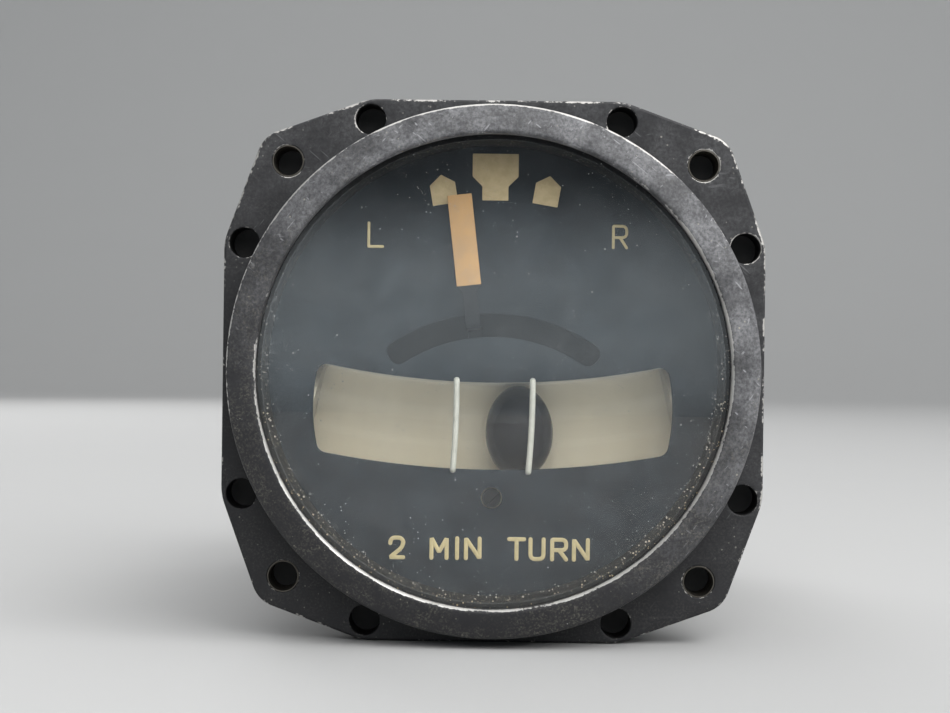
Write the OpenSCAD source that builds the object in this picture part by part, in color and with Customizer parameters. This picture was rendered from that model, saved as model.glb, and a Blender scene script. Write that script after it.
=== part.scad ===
// Aircraft turn and slip indicator: a panel instrument with an air driven gyro that swings a turn hand,
// and a ball inclinometer. X runs to the right of the dial, Y runs back into the panel and Z is up.
// The origin is the centre of the flange face that seats on the back of the panel.

/* [Panel flange] */
// How far the flange's flat sides lie outside the bezel
flange_margin = 1.5; // [1:0.1:4]
// Flange thickness
flange_thickness = 6.5; // [5:0.5:9]
// Radius of the round flange corners
corner_radius = 4.84; // [4.2:0.02:5.4]
// How far the bolt circle of the four corner holes lies outside the bezel
bolt_margin = 4.95; // [4.5:0.05:5.5]
// Bore of the threaded corner inserts
panel_hole_d = 4.1; // [3.6:0.1:4.5]
// Wall of the threaded corner inserts
insert_wall = 0.35; // [0.25:0.05:0.6]
// Distance of the side holes from the nearer centre line
side_hole_near = 19; // [17:0.1:20]
// Distance of the side holes from the flange's straight edge
side_hole_edge = 3.1; // [3:0.1:4]
// Side hole diameter
side_hole_d = 4.6; // [4:0.1:4.8]
// Metal left behind the flange's blind corner and side holes
hole_floor = 1.2; // [0.8:0.1:2]

/* [Bezel and glass] */
// Bezel outer diameter, which passes through the panel cut-out
bezel_d = 79; // [78:0.1:79.4]
// How far the bezel stands ahead of the flange face
bezel_reach = 8; // [7:0.1:10]
// Height of the crown on the bezel face
bezel_crown = 0.5; // [0.2:0.1:0.8]
// Width of the bezel face
lip_width = 4.5; // [4:0.1:5.5]
// Thickness of the bezel lip
lip_thickness = 1.8; // [1.4:0.1:2.4]
// Bezel wall outside the thread that holds it on the case
bezel_wall = 1.9; // [1.5:0.1:2.2]
// Cover glass thickness
glass_thickness = 2; // [1.5:0.1:2.5]
// Glass gasket thickness
gasket_thickness = 0.6; // [0.4:0.1:1]

/* [Case] */
// How far the case barrel lies inside the bezel's outside
barrel_step = 1; // [0.2:0.1:1.2]
// Wall of the case barrel
barrel_wall = 2.5; // [2:0.1:3]
// Thickness of the rear rim that takes the cover screws
rim_thickness = 6.5; // [5:0.5:9]
// Number of rear cover screws
cover_screw_count = 6; // [4:1:8]
// Rear cover thickness
cover_thickness = 4; // [3:0.5:6]

/* [Dial] */
// Wall of the threaded spigot around the dial
spigot_wall = 2; // [1.9:0.05:2.4]
// Dial thickness
dial_thickness = 1; // [0.8:0.1:1.5]
// Depth of the dial face behind the flange face
dial_depth = 4; // [3.5:0.1:6]
// Distance of the hand staff below the tube's holder
staff_gap = 1.85; // [1.7:0.05:2.5]
// Angle of the side index marks about the hand staff
mark_angle = 9.6; // [9:0.1:12]
// Distance of the middle index mark's top from the dial's edge
mark_margin = 2.15; // [1.8:0.05:3.5]
// Height of the arc slot that the hand passes through, above the dial centre
slot_rise = 7; // [6.5:0.1:8]

/* [Inclinometer] */
// Bend radius of the tube's centre line
tube_bend = 135; // [120:1:150]
// Height of the tube's lowest centre point, below the dial centre
tube_drop = 9.3; // [9:0.1:9.6]
// Outside diameter of the tube
tube_d = 14.5; // [14:0.1:14.6]
// Tube wall
tube_wall = 1.6; // [1.2:0.1:2]
// Radial clearance of the ball in the tube
ball_clearance = 0.35; // [0.2:0.05:0.6]
// Distance of the window's ends from the dial's edge
window_margin = 7.8; // [7.4:0.1:11]
// How far the centre of the window's round ends lies below the dial's centre
window_end_drop = 5.8; // [5:0.1:6.6]
// Height of the window
window_height = 13.4; // [11:0.1:13.6]
// How far the window's middle lies above the tube's centre line
window_rise = 0.8; // [0.4:0.1:1]
// Distance between the two index wires
wire_spacing = 11.7; // [11:0.1:13]
// Where the ball lies at rest, as an angle to the right of the middle
ball_rest = 1.8; // [-4:0.1:4]

/* [Turn hand] */
// Where the hand lies at rest, as an angle to the right of the middle
hand_rest = -6.75; // [-8:0.05:8]
// How far the hand's tip overlaps the index marks
tip_overlap = 1; // [0:0.1:1.5]
// Length of the painted tip
hand_tip_length = 13.9; // [12:0.1:15]
// Width of the painted tip
hand_width = 3.74; // [3:0.02:4.2]
// Thickness of the hand
hand_thickness = 0.8; // [0.6:0.05:1]
// Width of the hand's arm
arm_width = 2.2; // [1.8:0.1:2.4]

/* [Gyro] */
// Space between the rotor and the case barrel
rotor_margin = 15; // [15:0.5:18]
// Rotor width
rotor_width = 16; // [12:0.5:17]
// Number of buckets in the rotor rim
bucket_count = 24; // [16:1:30]
// Clear space between the rotor and the gimbal frame
rotor_gap = 1.6; // [1.2:0.1:3]
// Width of the gimbal frame bars
frame_bar = 4; // [3.5:0.1:6]
// Height of the gimbal frame bars
frame_height = 10; // [9.6:0.1:11]
// Tilt at which the gimbal meets its stops
gimbal_stop = 12.5; // [10:0.5:13]
// Distance of the drive pin from the hand staff
fork_length = 6.5; // [6:0.1:7]
// Distance of the damper pin from the case barrel
damper_margin = 17; // [16:0.1:18]
// Distance of the spring pin above the gimbal axis
spring_arm = 11; // [10.6:0.1:12]
// Bore of the damper cylinder
damper_bore = 7; // [6:0.1:7.4]

/* [Centering spring] */
// Number of spring turns
spring_turns = 9; // [6:1:11]
// Mean diameter of the spring turns
spring_d = 4; // [3.4:0.1:5]
// Spring wire diameter
spring_wire = 0.7; // [0.5:0.05:0.8]
// Distance from one turn to the next
spring_pitch = 1.15; // [1:0.05:1.3]

/* [Air fittings] */
// Outside diameter of the suction nipple
nipple_d = 11; // [9:0.1:12]
// Length of the suction nipple beyond its hexagon
nipple_length = 11; // [8:0.5:15]
// Bore of the suction nipple
nipple_bore = 5.5; // [4:0.1:7]
// Outside diameter of the air nozzle
nozzle_d = 4; // [3:0.1:4.4]

/* [Clearances] */
// Radial clearance of pieces that are pressed or screwed together
fit = 0.02; // [0.01:0.01:0.05]
// Radial clearance of pieces that turn or slide on each other
running = 0.03; // [0.02:0.01:0.08]
// Clearance of pieces that sit loosely in each other
loose = 0.2; // [0.1:0.05:0.3]
// Clear space between moving pieces that pass each other
pass = 0.8; // [0.5:0.1:1.2]
// Clearance of the drive pin in the fork
fork_play = 0.3; // [0.25:0.05:0.4]

/* [Hidden] */
$fn = 96;

// Overshoot of a cut past the faces it opens
over = 1;
// Hair gap between faces that must not rub
seat = 0.1;
// Gap between large faces
seam = 0.3;

// Diameters and depths of the bezel, case, glass and dial stack
flange_across = bezel_d + 2 * flange_margin;
panel_bolt_circle = bezel_d + 2 * bolt_margin;
side_hole_far = flange_across / 2 - side_hole_edge;
flat_half = side_hole_near + seam;
sight_d = bezel_d - 2 * lip_width;
thread_d = bezel_d - 2 * bezel_wall;
barrel_d = bezel_d - 2 * barrel_step;
barrel_bore = barrel_d - 2 * barrel_wall;
dial_d = thread_d - 2 * (spigot_wall + loose);
spigot_reach = bezel_reach - lip_thickness - glass_thickness - gasket_thickness;
spigot_bore = dial_d / 2 + loose;
glass_r = thread_d / 2 - loose;
gasket_inner = sight_d / 2 - 0.6;
dial_back = dial_depth + dial_thickness;
ledge_r = dial_d / 2 - 1.8;
ledge_back = dial_back + 3;

// Inclinometer: the tube is a bent pipe about a centre far above the dial
bend_z = tube_bend - tube_drop;
tube_r = tube_d / 2;
tube_bore = tube_r - tube_wall;
ball_r = tube_bore - ball_clearance;
tube_y = dial_back + 0.4 + tube_r;
window_half = dial_d / 2 - window_margin;
window_mid = tube_bend - window_rise;
window_half_angle = asin(window_half / window_mid);
tube_half_angle = window_half_angle + 0.75;
stopper_length = 1.5;
backing_thickness = 0.5;
backing_y = tube_y + tube_r + seat;
holder_wall = 1;
trough_half = tube_r + seat;
holder_half_angle = tube_half_angle + 0.45;
trough_back = backing_y + backing_thickness;
holder_back = trough_back + holder_wall;
leg_x = 24;
leg_z = bend_z - sqrt(pow(tube_bend, 2) - pow(leg_x, 2));
leg_r = 3;
wire_r = 0.42;
wire_stand = 0.5;
wire_mid = bend_z - window_mid;
wire_overlap = 0.75;

// Turn hand, its staff and its index marks
staff_drop = tube_drop + trough_half + holder_wall + staff_gap;
mark_height = 7.15;
mark_radius = dial_d / 2 + staff_drop - mark_margin - mark_height;
hand_tip = mark_radius + tip_overlap;
slot_radius = staff_drop + slot_rise;
staff_r = 1.25;
pivot_r = 0.5;
pivot_reach = 0.8;
bush_r = staff_r + 1.2;
bearing_screw_r = 1.45;
boss_back = dial_back + 4.3;
bearing_back = boss_back - 0.3;
staff_front = boss_back + 0.5;
strip_y = dial_depth - 2;
slot_half_width = 1.8;
slot_half_angle = 33;
leg_depth = 1.2;
arm_y = holder_back + pass;
arm_back = arm_y + hand_thickness;
fork_y = arm_back + pass;
fork_thickness = 1;
fork_back = fork_y + fork_thickness;
hub_r = 2.8;
drive_pin_r = 0.75;
crank_y = fork_back + pass;
crank_thickness = 1.2;
crank_back = crank_y + crank_thickness;
crank_boss_r = 3.6;
crank_end = 1.6;

// Movement frame and gimbal, from front to back
plate_y = crank_back + pass;
plate_thickness = 3;
plate_back = plate_y + plate_thickness;
plate_r = barrel_bore / 2 - loose;
relief_r = 5;
relief_x = 14;
relief_z = 17;
frame_y = plate_back + 2;
rotor_r = barrel_bore / 2 - rotor_margin;
rotor_y = frame_y + frame_bar + rotor_gap + rotor_r;
frame_rear_y = rotor_y + rotor_r + rotor_gap;
frame_back = frame_rear_y + frame_bar;
rear_crank_y = frame_back + seam;
rear_crank_back = rear_crank_y + crank_thickness;
pin_length = 3.4;
boss_y = rear_crank_back + 2;
bearing_width = 2.6;
bearing_r = 5;
gimbal_shaft_r = 2;
rear_bearing_y = boss_y + 0.2;
cover_gasket = 0.5;
cover_y = rear_bearing_y + bearing_width + 1.8;
case_back = cover_y - cover_gasket;
cover_back = cover_y + cover_thickness;
cover_r = flange_across / 2;
cover_boss_r = 8;
cover_screw_r = 1.25;
cover_head_r = 2.4;
cover_head = 1.8;
cover_edge = 0.8;
screw_circle = (barrel_bore / 2 + cover_r) / 2;

// The hand's rest angle fixes the gimbal's: the pin lies on the fork's middle line
drive_arm = staff_drop - fork_length;
gimbal_rest = -asin(staff_drop * sin(hand_rest) / drive_arm) + hand_rest;
stop_r = 0.9;
stop_radius = 10;
crank_half = 1.5;
stop_angle = gimbal_stop + asin((crank_half + stop_r + seat) / stop_radius);

// Rotor and its bearings in the gimbal's side bars
frame_inner_x = rotor_width / 2 + 3.2;
frame_outer_x = frame_inner_x + frame_bar + 1.5;
axle_r = 1.5;
axle_shoulder_r = 2;
rotor_bearing_r = 4;
rotor_bearing_width = 3;
bearing_x = frame_inner_x + 1.2;
bearing_end = bearing_x + rotor_bearing_width;
cap_x = frame_outer_x + 1.5;
side_boss_r = rotor_bearing_r + 2.4;
hub_half = rotor_width / 2 + 0.6;

// Damper: a piston in a cylinder, whose rod ends in a slotted yoke on the gimbal's damper pin
rear_pin_r = 0.9;
damper_arm = barrel_bore / 2 - damper_margin;
damper_x = damper_arm * (1 + cos(gimbal_stop)) / 2;
damper_stroke = damper_arm * sin(gimbal_stop);
damper_y = rear_crank_back + 0.7 + 1;
damper_wall = 1;
damper_r = damper_bore / 2 + damper_wall;
piston_thickness = 3;
damper_top = -damper_stroke - frame_height / 2 - 1;
damper_floor = damper_top - 2 * damper_stroke - piston_thickness - 1.2;
piston_mid = (damper_top + damper_floor) / 2;
rod_r = 0.8;
yoke_half = 0.7;
yoke_height = 2;
bleed_z = damper_floor + 1.2;
bleed_r = 0.5;
bleed_screw_r = 1.5;
bleed_head_r = 2.6;
bleed_head = 1.6;
pad_y = cover_y - 2.2;
needle_tip = damper_y + damper_bore / 2 + seam;
needle_y = needle_tip + 0.8;
ear_x = damper_r + 2.6;
ear_z = piston_mid - 1.5;
ear_half = 2.5;
ear_margin = 2;
ear_screw_r = 1;
ear_screw_reach = 2.4;
small_head_r = 1.8;
small_head = 1.2;
damper_shift = -damper_arm * sin(gimbal_rest);

// Spring between the gimbal's spring pin and a stud in the rear cover
stud_r = 1.2;
spring_y = damper_y;
hook_r = rear_pin_r + spring_wire / 2 + seat;
stud_hook_r = stud_r + spring_wire / 2 + seat;
spring_lead = 1.2;
spring_length = spring_turns * spring_pitch + hook_r + stud_hook_r + 2 * spring_lead;
pin_x = spring_arm * sin(gimbal_rest);
pin_z = spring_arm * cos(gimbal_rest);
stud_z = pin_z + sqrt(pow(spring_length, 2) - pow(pin_x, 2));

// Pillars, nozzle and rear fittings
pillar_r = 3;
pillar_circle = barrel_bore / 2 - pillar_r - 1.8;
pillar_angles = [30, 150, 270];
pillar_thread = 8;
pillar_screw_reach = 6;
nozzle_z = -(rotor_r - 1.7);
nozzle_tip = rotor_y + sqrt(pow(rotor_r, 2) - pow(nozzle_z + nozzle_d / 2 + 1, 2)) + 0.6;
inlet_r = 6.5;
inlet_wall = 2.5;
inlet_boss = 1.5;
inlet_seat = 1.5;
inlet_hole_r = 0.9;
screen_thickness = 1;
cap_y = cover_back - inlet_seat + screen_thickness;
suction_x = -14;
suction_z = 14;
suction_boss_r = 9;
hex_r = 8;
hex_height = 5;
plug_r = 6.4;
plug_neck_r = plug_r - 1.2;
plug_head = 1.6;
plug_slot = 1.4;
nozzle_taper = 3;
nozzle_flange = 1.5;
balance_arm = 12.5;
weight_r = 3.4;
weight_height = 2.4;
screw_slot = 0.5;

// Unit vector
function unit(v) = v / norm(v);

// Point where the outer tangent from p touches the circle of radius r about c
function tangent_point(p, c, r) =
    let (d = c - p,
         turn = atan2(d[1], d[0]) + asin(r / norm(d)),
         reach = sqrt(d * d - r * r))
    p + reach * [cos(turn), sin(turn)];

// Point right of the centre line where circles about two heights on it meet
function meet(z1, r1, z2, r2) =
    let (z = (r1 * r1 - r2 * r2 + z2 * z2 - z1 * z1) / (2 * (z2 - z1)))
    [sqrt(r1 * r1 - (z - z1) * (z - z1)), z];

// Round bar along Y
module bar(r, y0, y1, x = 0, z = 0) {
    translate([x, y0, z]) rotate([-90, 0, 0]) cylinder(h = y1 - y0, r = r);
}

// Ring along Y
module ring(r_out, r_in, y0, y1, x = 0, z = 0) {
    difference() {
        bar(r_out, y0, y1, x, z);
        bar(r_in, y0 - 1, y1 + 1, x, z);
    }
}

// Cone along Y, from radius r0 at y0 to r1 at y1
module cone(r0, r1, y0, y1, x = 0, z = 0) {
    translate([x, y0, z]) rotate([-90, 0, 0]) cylinder(h = y1 - y0, r1 = r0, r2 = r1);
}

// Flat piece whose outline is drawn as seen from the front, X right and Z up
module sheet(y, thickness) {
    translate([0, y + thickness, 0]) rotate([90, 0, 0]) linear_extrude(thickness) children();
}

// Turned piece whose profile is drawn as radius and depth
module turned() {
    rotate([-90, 0, 0]) rotate_extrude() children();
}

// Arc about the tube's bend centre, from a profile drawn as radius and depth
module bent(half_angle) {
    translate([0, 0, bend_z]) rotate([-90, 0, 0]) rotate([0, 0, 90 - half_angle])
        rotate_extrude(angle = 2 * half_angle) children();
}

// Arc bar about the bend centre, with a square section
module bent_bar(r_in, r_out, half_angle, y0, y1) {
    bent(half_angle) translate([r_in, y0]) square([r_out - r_in, y1 - y0]);
}

// Place on the tube's bend, at an angle to the right of the middle and a radius from the bend centre
module on_bend(angle, radius) {
    translate([radius * sin(angle), 0, bend_z - radius * cos(angle)]) children();
}

// Copies of a piece at angles around the Y axis
module around(angles, radius) {
    for (a = angles) translate([radius * cos(a), 0, radius * sin(a)]) children();
}

// Copies at the four corner holes
module at_corners() {
    around([45 : 90 : 315], panel_bolt_circle / 2) children();
}

// Copies at the eight side holes
module at_side_holes() {
    for (sx = [-1, 1], sz = [-1, 1]) {
        translate([sx * side_hole_near, 0, sz * side_hole_far]) children();
        translate([sx * side_hole_far, 0, sz * side_hole_near]) children();
    }
}

// Copies at the rear cover screws
module at_cover_screws() {
    step = 360 / cover_screw_count;
    around([30 : step : 389], screw_circle) children();
}

// Copies at the two stops of the drive crank
module at_stops() {
    around([-90 - stop_angle, -90 + stop_angle], stop_radius) children();
}

// Copies at the damper cylinder's two ears
module at_ears() {
    for (side = [-1, 1]) translate([damper_x + side * ear_x, 0, ear_z]) children();
}

// Swings a piece with the gimbal
module with_gimbal() {
    rotate([0, gimbal_rest, 0]) children();
}

// Swings a piece with the turn hand
module with_hand() {
    translate([0, 0, -staff_drop]) rotate([0, hand_rest, 0]) children();
}

// Copies a piece drawn for the right side to the left side too
module both_sides() {
    children();
    mirror([1, 0, 0]) children();
}

// Slotted cheese head with its shank, the head towards the back
module rear_screw(head_r, shank_r, y_seat, head, length, x = 0, z = 0) {
    difference() {
        union() {
            bar(head_r, y_seat, y_seat + head, x, z);
            bar(shank_r, y_seat - length, y_seat + 1, x, z);
        }
        translate([x - head_r - 1, y_seat + head / 2, z - screw_slot / 2])
            cube([2 * head_r + 2, head, screw_slot]);
    }
}

// Slotted cheese head with its shank, the head towards the front
module front_screw(head_r, shank_r, y_seat, head, length, x = 0, z = 0) {
    translate([0, 2 * y_seat, 0]) mirror([0, 1, 0]) rear_screw(head_r, shank_r, y_seat, head, length, x, z);
}

// Ball bearing along Y: outer race, inner race and balls as separate solids
module bearing(r_out, r_in, y0, width) {
    race = (r_out - r_in) / 4;
    ball_circle = (r_out + r_in) / 2;
    ball = (r_out - r_in) / 4 - running;
    ring(r_out - fit, r_out - race, y0, y0 + width);
    ring(r_in + race, r_in + running, y0, y0 + width);
    around([0 : 45 : 315], ball_circle) translate([0, y0 + width / 2, 0]) sphere(r = ball);
}

// Flange outline: straight sides, slanted edges and round corners about the corner holes
module flange_outline() {
    half = flange_across / 2;
    corner = panel_bolt_circle / 2 * cos(45);
    touch = tangent_point([flat_half, half], [corner, corner], corner_radius);
    quarter = [[flat_half, half], touch, [touch[1], touch[0]], [half, flat_half]];
    signs = [[1, 1], [1, -1], [-1, -1], [-1, 1]];
    polygon([for (k = [0 : 3], i = [0 : 3])
        let (p = quarter[k % 2 == 0 ? i : 3 - i])
        [p[0] * signs[k][0], p[1] * signs[k][1]]]);
    for (s = signs) translate(corner * s) circle(r = corner_radius + fit);
}

module case_body() {
    barrel_r = barrel_d / 2;
    root = flange_across / 2 - 0.5;
    color([0.10, 0.10, 0.11]) difference() {
        union() {
            sheet(0, flange_thickness) flange_outline();
            turned() polygon([
                [0, -spigot_reach], [thread_d / 2, -spigot_reach], [thread_d / 2, 1],
                [root, 1], [root, flange_thickness],
                [barrel_r, flange_thickness + root - barrel_r],
                [barrel_r, case_back - rim_thickness - cover_r + barrel_r],
                [cover_r, case_back - rim_thickness], [cover_r, case_back], [0, case_back]]);
        }
        bar(spigot_bore, -spigot_reach - 1, dial_back);
        bar(ledge_r, -spigot_reach - over, ledge_back + over);
        bar(barrel_bore / 2, ledge_back, case_back + 1);
        at_corners() bar(panel_hole_d / 2 + insert_wall + fit, -1, flange_thickness - hole_floor);
        at_side_holes() bar(side_hole_d / 2, -1, flange_thickness - hole_floor);
        at_cover_screws() bar(cover_screw_r + fit, case_back - rim_thickness + 1, case_back + 1);
    }
}

module mounting_inserts() {
    color([0.55, 0.50, 0.40]) at_corners()
        ring(panel_hole_d / 2 + insert_wall, panel_hole_d / 2, 0, flange_thickness - hole_floor);
}

module bezel_ring() {
    outer = bezel_d / 2;
    inner = sight_d / 2;
    crest = (outer + inner) / 2;
    half = (outer - inner) / 2;
    crown_r = (half * half + bezel_crown * bezel_crown) / (2 * bezel_crown);
    edge = 0.5;
    color([0.12, 0.12, 0.12]) turned() intersection() {
        polygon([
            [thread_d / 2 + fit, -seam], [thread_d / 2 + fit, lip_thickness - bezel_reach],
            [inner, lip_thickness - bezel_reach], [inner, bezel_crown + edge - bezel_reach],
            [inner + edge, bezel_crown - edge / 2 - bezel_reach], [inner + edge, -bezel_reach - 1],
            [outer - edge, -bezel_reach - 1], [outer - edge, bezel_crown - edge / 2 - bezel_reach],
            [outer, bezel_crown + edge - bezel_reach], [outer, -seam]]);
        translate([crest, crown_r - bezel_reach]) circle(r = crown_r);
    }
}

module cover_glass() {
    color([0.80, 0.85, 0.85, 0.3])
        bar(glass_r, lip_thickness - bezel_reach, -spigot_reach - gasket_thickness);
}

module glass_gasket() {
    color([0.05, 0.05, 0.05]) ring(glass_r, gasket_inner, -spigot_reach - gasket_thickness, -spigot_reach);
}

module dial_spacer() {
    color([0.06, 0.06, 0.06]) ring(dial_d / 2, gasket_inner, -spigot_reach, dial_depth);
}

// Window cut: an arc about the bend centre with round ends and rounded corners
module window_cut() {
    corner = 1.6;
    inner = window_mid - window_height / 2;
    outer = window_mid + window_height / 2;
    middle = [0, -window_end_drop];
    high = meet(middle[1], window_half - corner, bend_z, inner + corner);
    low = meet(middle[1], window_half - corner, bend_z, outer - corner);
    y0 = dial_depth - 1;
    y1 = dial_back + 1;
    bent_bar(inner, window_mid + seam, atan2(high[0], bend_z - high[1]), y0, y1);
    bent_bar(window_mid, outer, atan2(low[0], bend_z - low[1]), y0, y1);
    sheet(y0, y1 - y0) intersection() {
        translate(middle) circle(r = window_half);
        for (side = [-1, 1]) polygon([for (p = [middle, middle + 1.4 * (low - middle),
            middle + 1.4 * (high - middle)]) [side * p[0], p[1]]]);
    }
    for (side = [-1, 1], centre = [high, low])
        bar(corner + fit, y0, y1, side * centre[0], centre[1]);
}

// Arc slot about the hand staff
module hand_slot_cut() {
    translate([0, dial_depth - 1, -staff_drop]) rotate([-90, 0, 0]) {
        rotate([0, 0, -90 - slot_half_angle]) rotate_extrude(angle = 2 * slot_half_angle)
            translate([slot_radius - slot_half_width, 0]) square([2 * slot_half_width, dial_thickness + 2]);
        for (side = [-1, 1]) rotate([0, 0, -90 + side * slot_half_angle])
            translate([slot_radius, 0, 0]) cylinder(h = dial_thickness + 2, r = slot_half_width + fit);
    }
}

// Copies at the four ends of the index wires, just outside the window
module at_wire_ends() {
    for (side = [-1, 1], end = [-1, 1])
        translate([side * wire_spacing / 2, 0, wire_mid + end * (window_height / 2 + wire_overlap)])
            children();
}

module dial_plate() {
    color([0.07, 0.07, 0.08]) difference() {
        bar(dial_d / 2, dial_depth, dial_back);
        window_cut();
        hand_slot_cut();
        bar(bearing_screw_r + loose, dial_depth - over, dial_back + over, 0, -staff_drop);
        at_wire_ends() bar(wire_r + fit, dial_depth - over, dial_back + over);
    }
}

// Outline of the middle index mark, from the hand staff's axis
module middle_mark() {
    neck = 2;
    head = 3.52;
    neck_height = 2.15;
    taper = 1.5;
    translate([0, mark_radius]) polygon([
        [-neck, 0], [neck, 0], [neck, neck_height], [head, neck_height + taper], [head, mark_height],
        [-head, mark_height], [-head, neck_height + taper], [-neck, neck_height]]);
}

// Outline of a side index mark, a square with a roof
module side_mark() {
    half = 1.95;
    wall = 3.15;
    roof = 1.4;
    translate([0, mark_radius])
        polygon([[-half, 0], [half, 0], [half, wall], [0, wall + roof], [-half, wall]]);
}

module dial_marks() {
    paint = 0.12;
    color([0.68, 0.62, 0.46]) translate([0, 0, -staff_drop]) {
        sheet(dial_depth - paint, paint) middle_mark();
        for (side = [-1, 1]) rotate([0, side * mark_angle, 0]) sheet(dial_depth - paint, paint) side_mark();
    }
}

module index_wires() {
    reach = window_height / 2 + wire_overlap + wire_r;
    front = dial_depth - wire_stand;
    color([0.90, 0.89, 0.84]) {
        for (side = [-1, 1]) translate([side * wire_spacing / 2, front, wire_mid - reach])
            cylinder(h = 2 * reach, r = wire_r - fit);
        at_wire_ends() bar(wire_r, front, dial_back);
    }
}

module inclinometer_holder() {
    color([0.30, 0.30, 0.31]) difference() {
        union() {
            intersection() {
                bent(holder_half_angle) difference() {
                    translate([tube_bend - trough_half - holder_wall, dial_back])
                        square([2 * (trough_half + holder_wall), holder_back - dial_back]);
                    translate([tube_bend - trough_half, dial_back - 1])
                        square([2 * trough_half, trough_back - dial_back + 1]);
                }
                union() {
                    bar(ledge_r - loose, dial_back, ledge_back + loose);
                    bar(plate_r, ledge_back + loose, plate_y);
                }
            }
            bar(hub_r, dial_back, boss_back, 0, -staff_drop);
            both_sides() bar(leg_r, trough_back + holder_wall / 2, plate_y, leg_x, leg_z);
        }
        bar(bearing_screw_r + fit, dial_back - over, boss_back + over, 0, -staff_drop);
        both_sides() bar(ear_screw_r + fit, trough_back + holder_wall, plate_y + 1, leg_x, leg_z);
    }
}

module tube_backing() {
    color([0.72, 0.68, 0.58]) intersection() {
        bent_bar(tube_bend - trough_half + fit, tube_bend + trough_half - fit, holder_half_angle,
            backing_y, trough_back);
        bar(plate_r, backing_y - over, trough_back + over);
    }
}

module inclinometer_tube() {
    color([0.85, 0.88, 0.88, 0.35]) bent(tube_half_angle) translate([tube_bend, tube_y]) difference() {
        circle(r = tube_r);
        circle(r = tube_bore);
    }
}

module tube_stoppers() {
    reach = asin(stopper_length / tube_bend);
    color([0.35, 0.24, 0.15]) both_sides()
        translate([0, 0, bend_z]) rotate([-90, 0, 0]) rotate([0, 0, 90 - tube_half_angle])
            rotate_extrude(angle = reach) translate([tube_bend, tube_y]) circle(r = tube_bore - fit);
}

module holder_screws() {
    reach = plate_back - holder_back - 0.5;
    color("silver") both_sides()
        rear_screw(small_head_r, ear_screw_r, plate_back, small_head, reach, leg_x, leg_z);
}

module staff_bearing_screw() {
    color([0.16, 0.16, 0.17]) difference() {
        bar(bearing_screw_r, dial_depth, bearing_back, 0, -staff_drop);
        bar(pivot_r + running, bearing_back - over, bearing_back + over, 0, -staff_drop);
        translate([0, dial_depth, -staff_drop]) rotate([0, -45, 0])
            cube([4, 1, screw_slot], center = true);
    }
}

module staff_rear_bush() {
    color("goldenrod") ring(bush_r, pivot_r + running, plate_y, plate_back, 0, -staff_drop);
}

module front_plate() {
    color([0.62, 0.63, 0.65]) difference() {
        bar(plate_r, plate_y, plate_back);
        bar(bearing_r, plate_y - over, plate_back + over);
        bar(bush_r + fit, plate_y - over, plate_back + over, 0, -staff_drop);
        around(pillar_angles, pillar_circle) bar(cover_screw_r + loose, plate_y - over, plate_back + over);
        both_sides() bar(ear_screw_r + loose, plate_y - over, plate_back + over, leg_x, leg_z);
        both_sides() bar(relief_r, plate_y - over, plate_back + over, relief_x, relief_z);
        at_stops() bar(stop_r + fit, plate_y - over, plate_back + over);
    }
}

module frame_pillars() {
    color([0.66, 0.66, 0.67]) around(pillar_angles, pillar_circle) difference() {
        bar(pillar_r, plate_back, cover_y);
        bar(cover_screw_r + fit, plate_back - 1, plate_back + pillar_thread);
        bar(cover_screw_r + fit, cover_y - pillar_thread, cover_y + 1);
    }
}

module pillar_screws() {
    color("silver") around(pillar_angles, pillar_circle) {
        front_screw(cover_head_r, cover_screw_r, plate_y, cover_head, plate_thickness + pillar_screw_reach);
        rear_screw(cover_head_r, cover_screw_r, cover_back, cover_head, cover_thickness + pillar_screw_reach);
    }
}

module limit_stops() {
    color("silver") at_stops() bar(stop_r, crank_y, plate_back);
}

module gimbal_front_bearing() {
    color("gainsboro") bearing(bearing_r, gimbal_shaft_r, plate_y + seat, bearing_width);
}

module gimbal_rear_bearing() {
    color("gainsboro") bearing(bearing_r, gimbal_shaft_r, rear_bearing_y, bearing_width);
}

module damper_cylinder() {
    color("goldenrod") difference() {
        union() {
            translate([damper_x, damper_y, damper_floor - damper_wall])
                cylinder(h = damper_top - damper_floor + damper_wall, r = damper_r);
            translate([damper_x - damper_r, damper_y, damper_floor - damper_wall])
                cube([2 * damper_r, cover_y - damper_y, piston_mid - damper_floor]);
            translate([damper_x - ear_x - ear_margin, pad_y, ear_z - ear_half])
                cube([2 * (ear_x + ear_margin), cover_y - pad_y, 2 * ear_half]);
        }
        translate([damper_x, damper_y, damper_floor])
            cylinder(h = damper_top - damper_floor + over, r = damper_bore / 2);
        bar(bleed_r, damper_y, cover_y, damper_x, bleed_z);
        bar(bleed_screw_r + running, needle_tip - seat, cover_y + over, damper_x, bleed_z);
        at_ears() bar(ear_screw_r + loose, pad_y - over, cover_y + over);
    }
}

module damper_screws() {
    color("silver") at_ears()
        front_screw(small_head_r, ear_screw_r, pad_y, small_head, cover_y - pad_y + ear_screw_reach);
}

module damping_screw() {
    reach = cover_back - needle_y;
    color([0.70, 0.62, 0.40]) union() {
        rear_screw(bleed_head_r, bleed_screw_r, cover_back, bleed_head, reach, damper_x, bleed_z);
        cone(bleed_r * 0.6, bleed_screw_r * 0.8, needle_tip, needle_y + seat, damper_x, bleed_z);
    }
}

module spring_stud() {
    color("silver") union() {
        bar(stud_r, rear_crank_back + seat, cover_y + 1, 0, stud_z);
        rear_screw(bleed_head_r, bleed_screw_r, cover_back, bleed_head, cover_thickness, 0, stud_z);
    }
}

// Spring path: a hook round the pin, the turns, and a hook round the stud, along its own Z
function hook(r, centre, from, to, steps) =
    [for (i = [0 : steps]) let (a = from + (to - from) * i / steps) [r * cos(a), 0, centre + r * sin(a)]];

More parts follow.
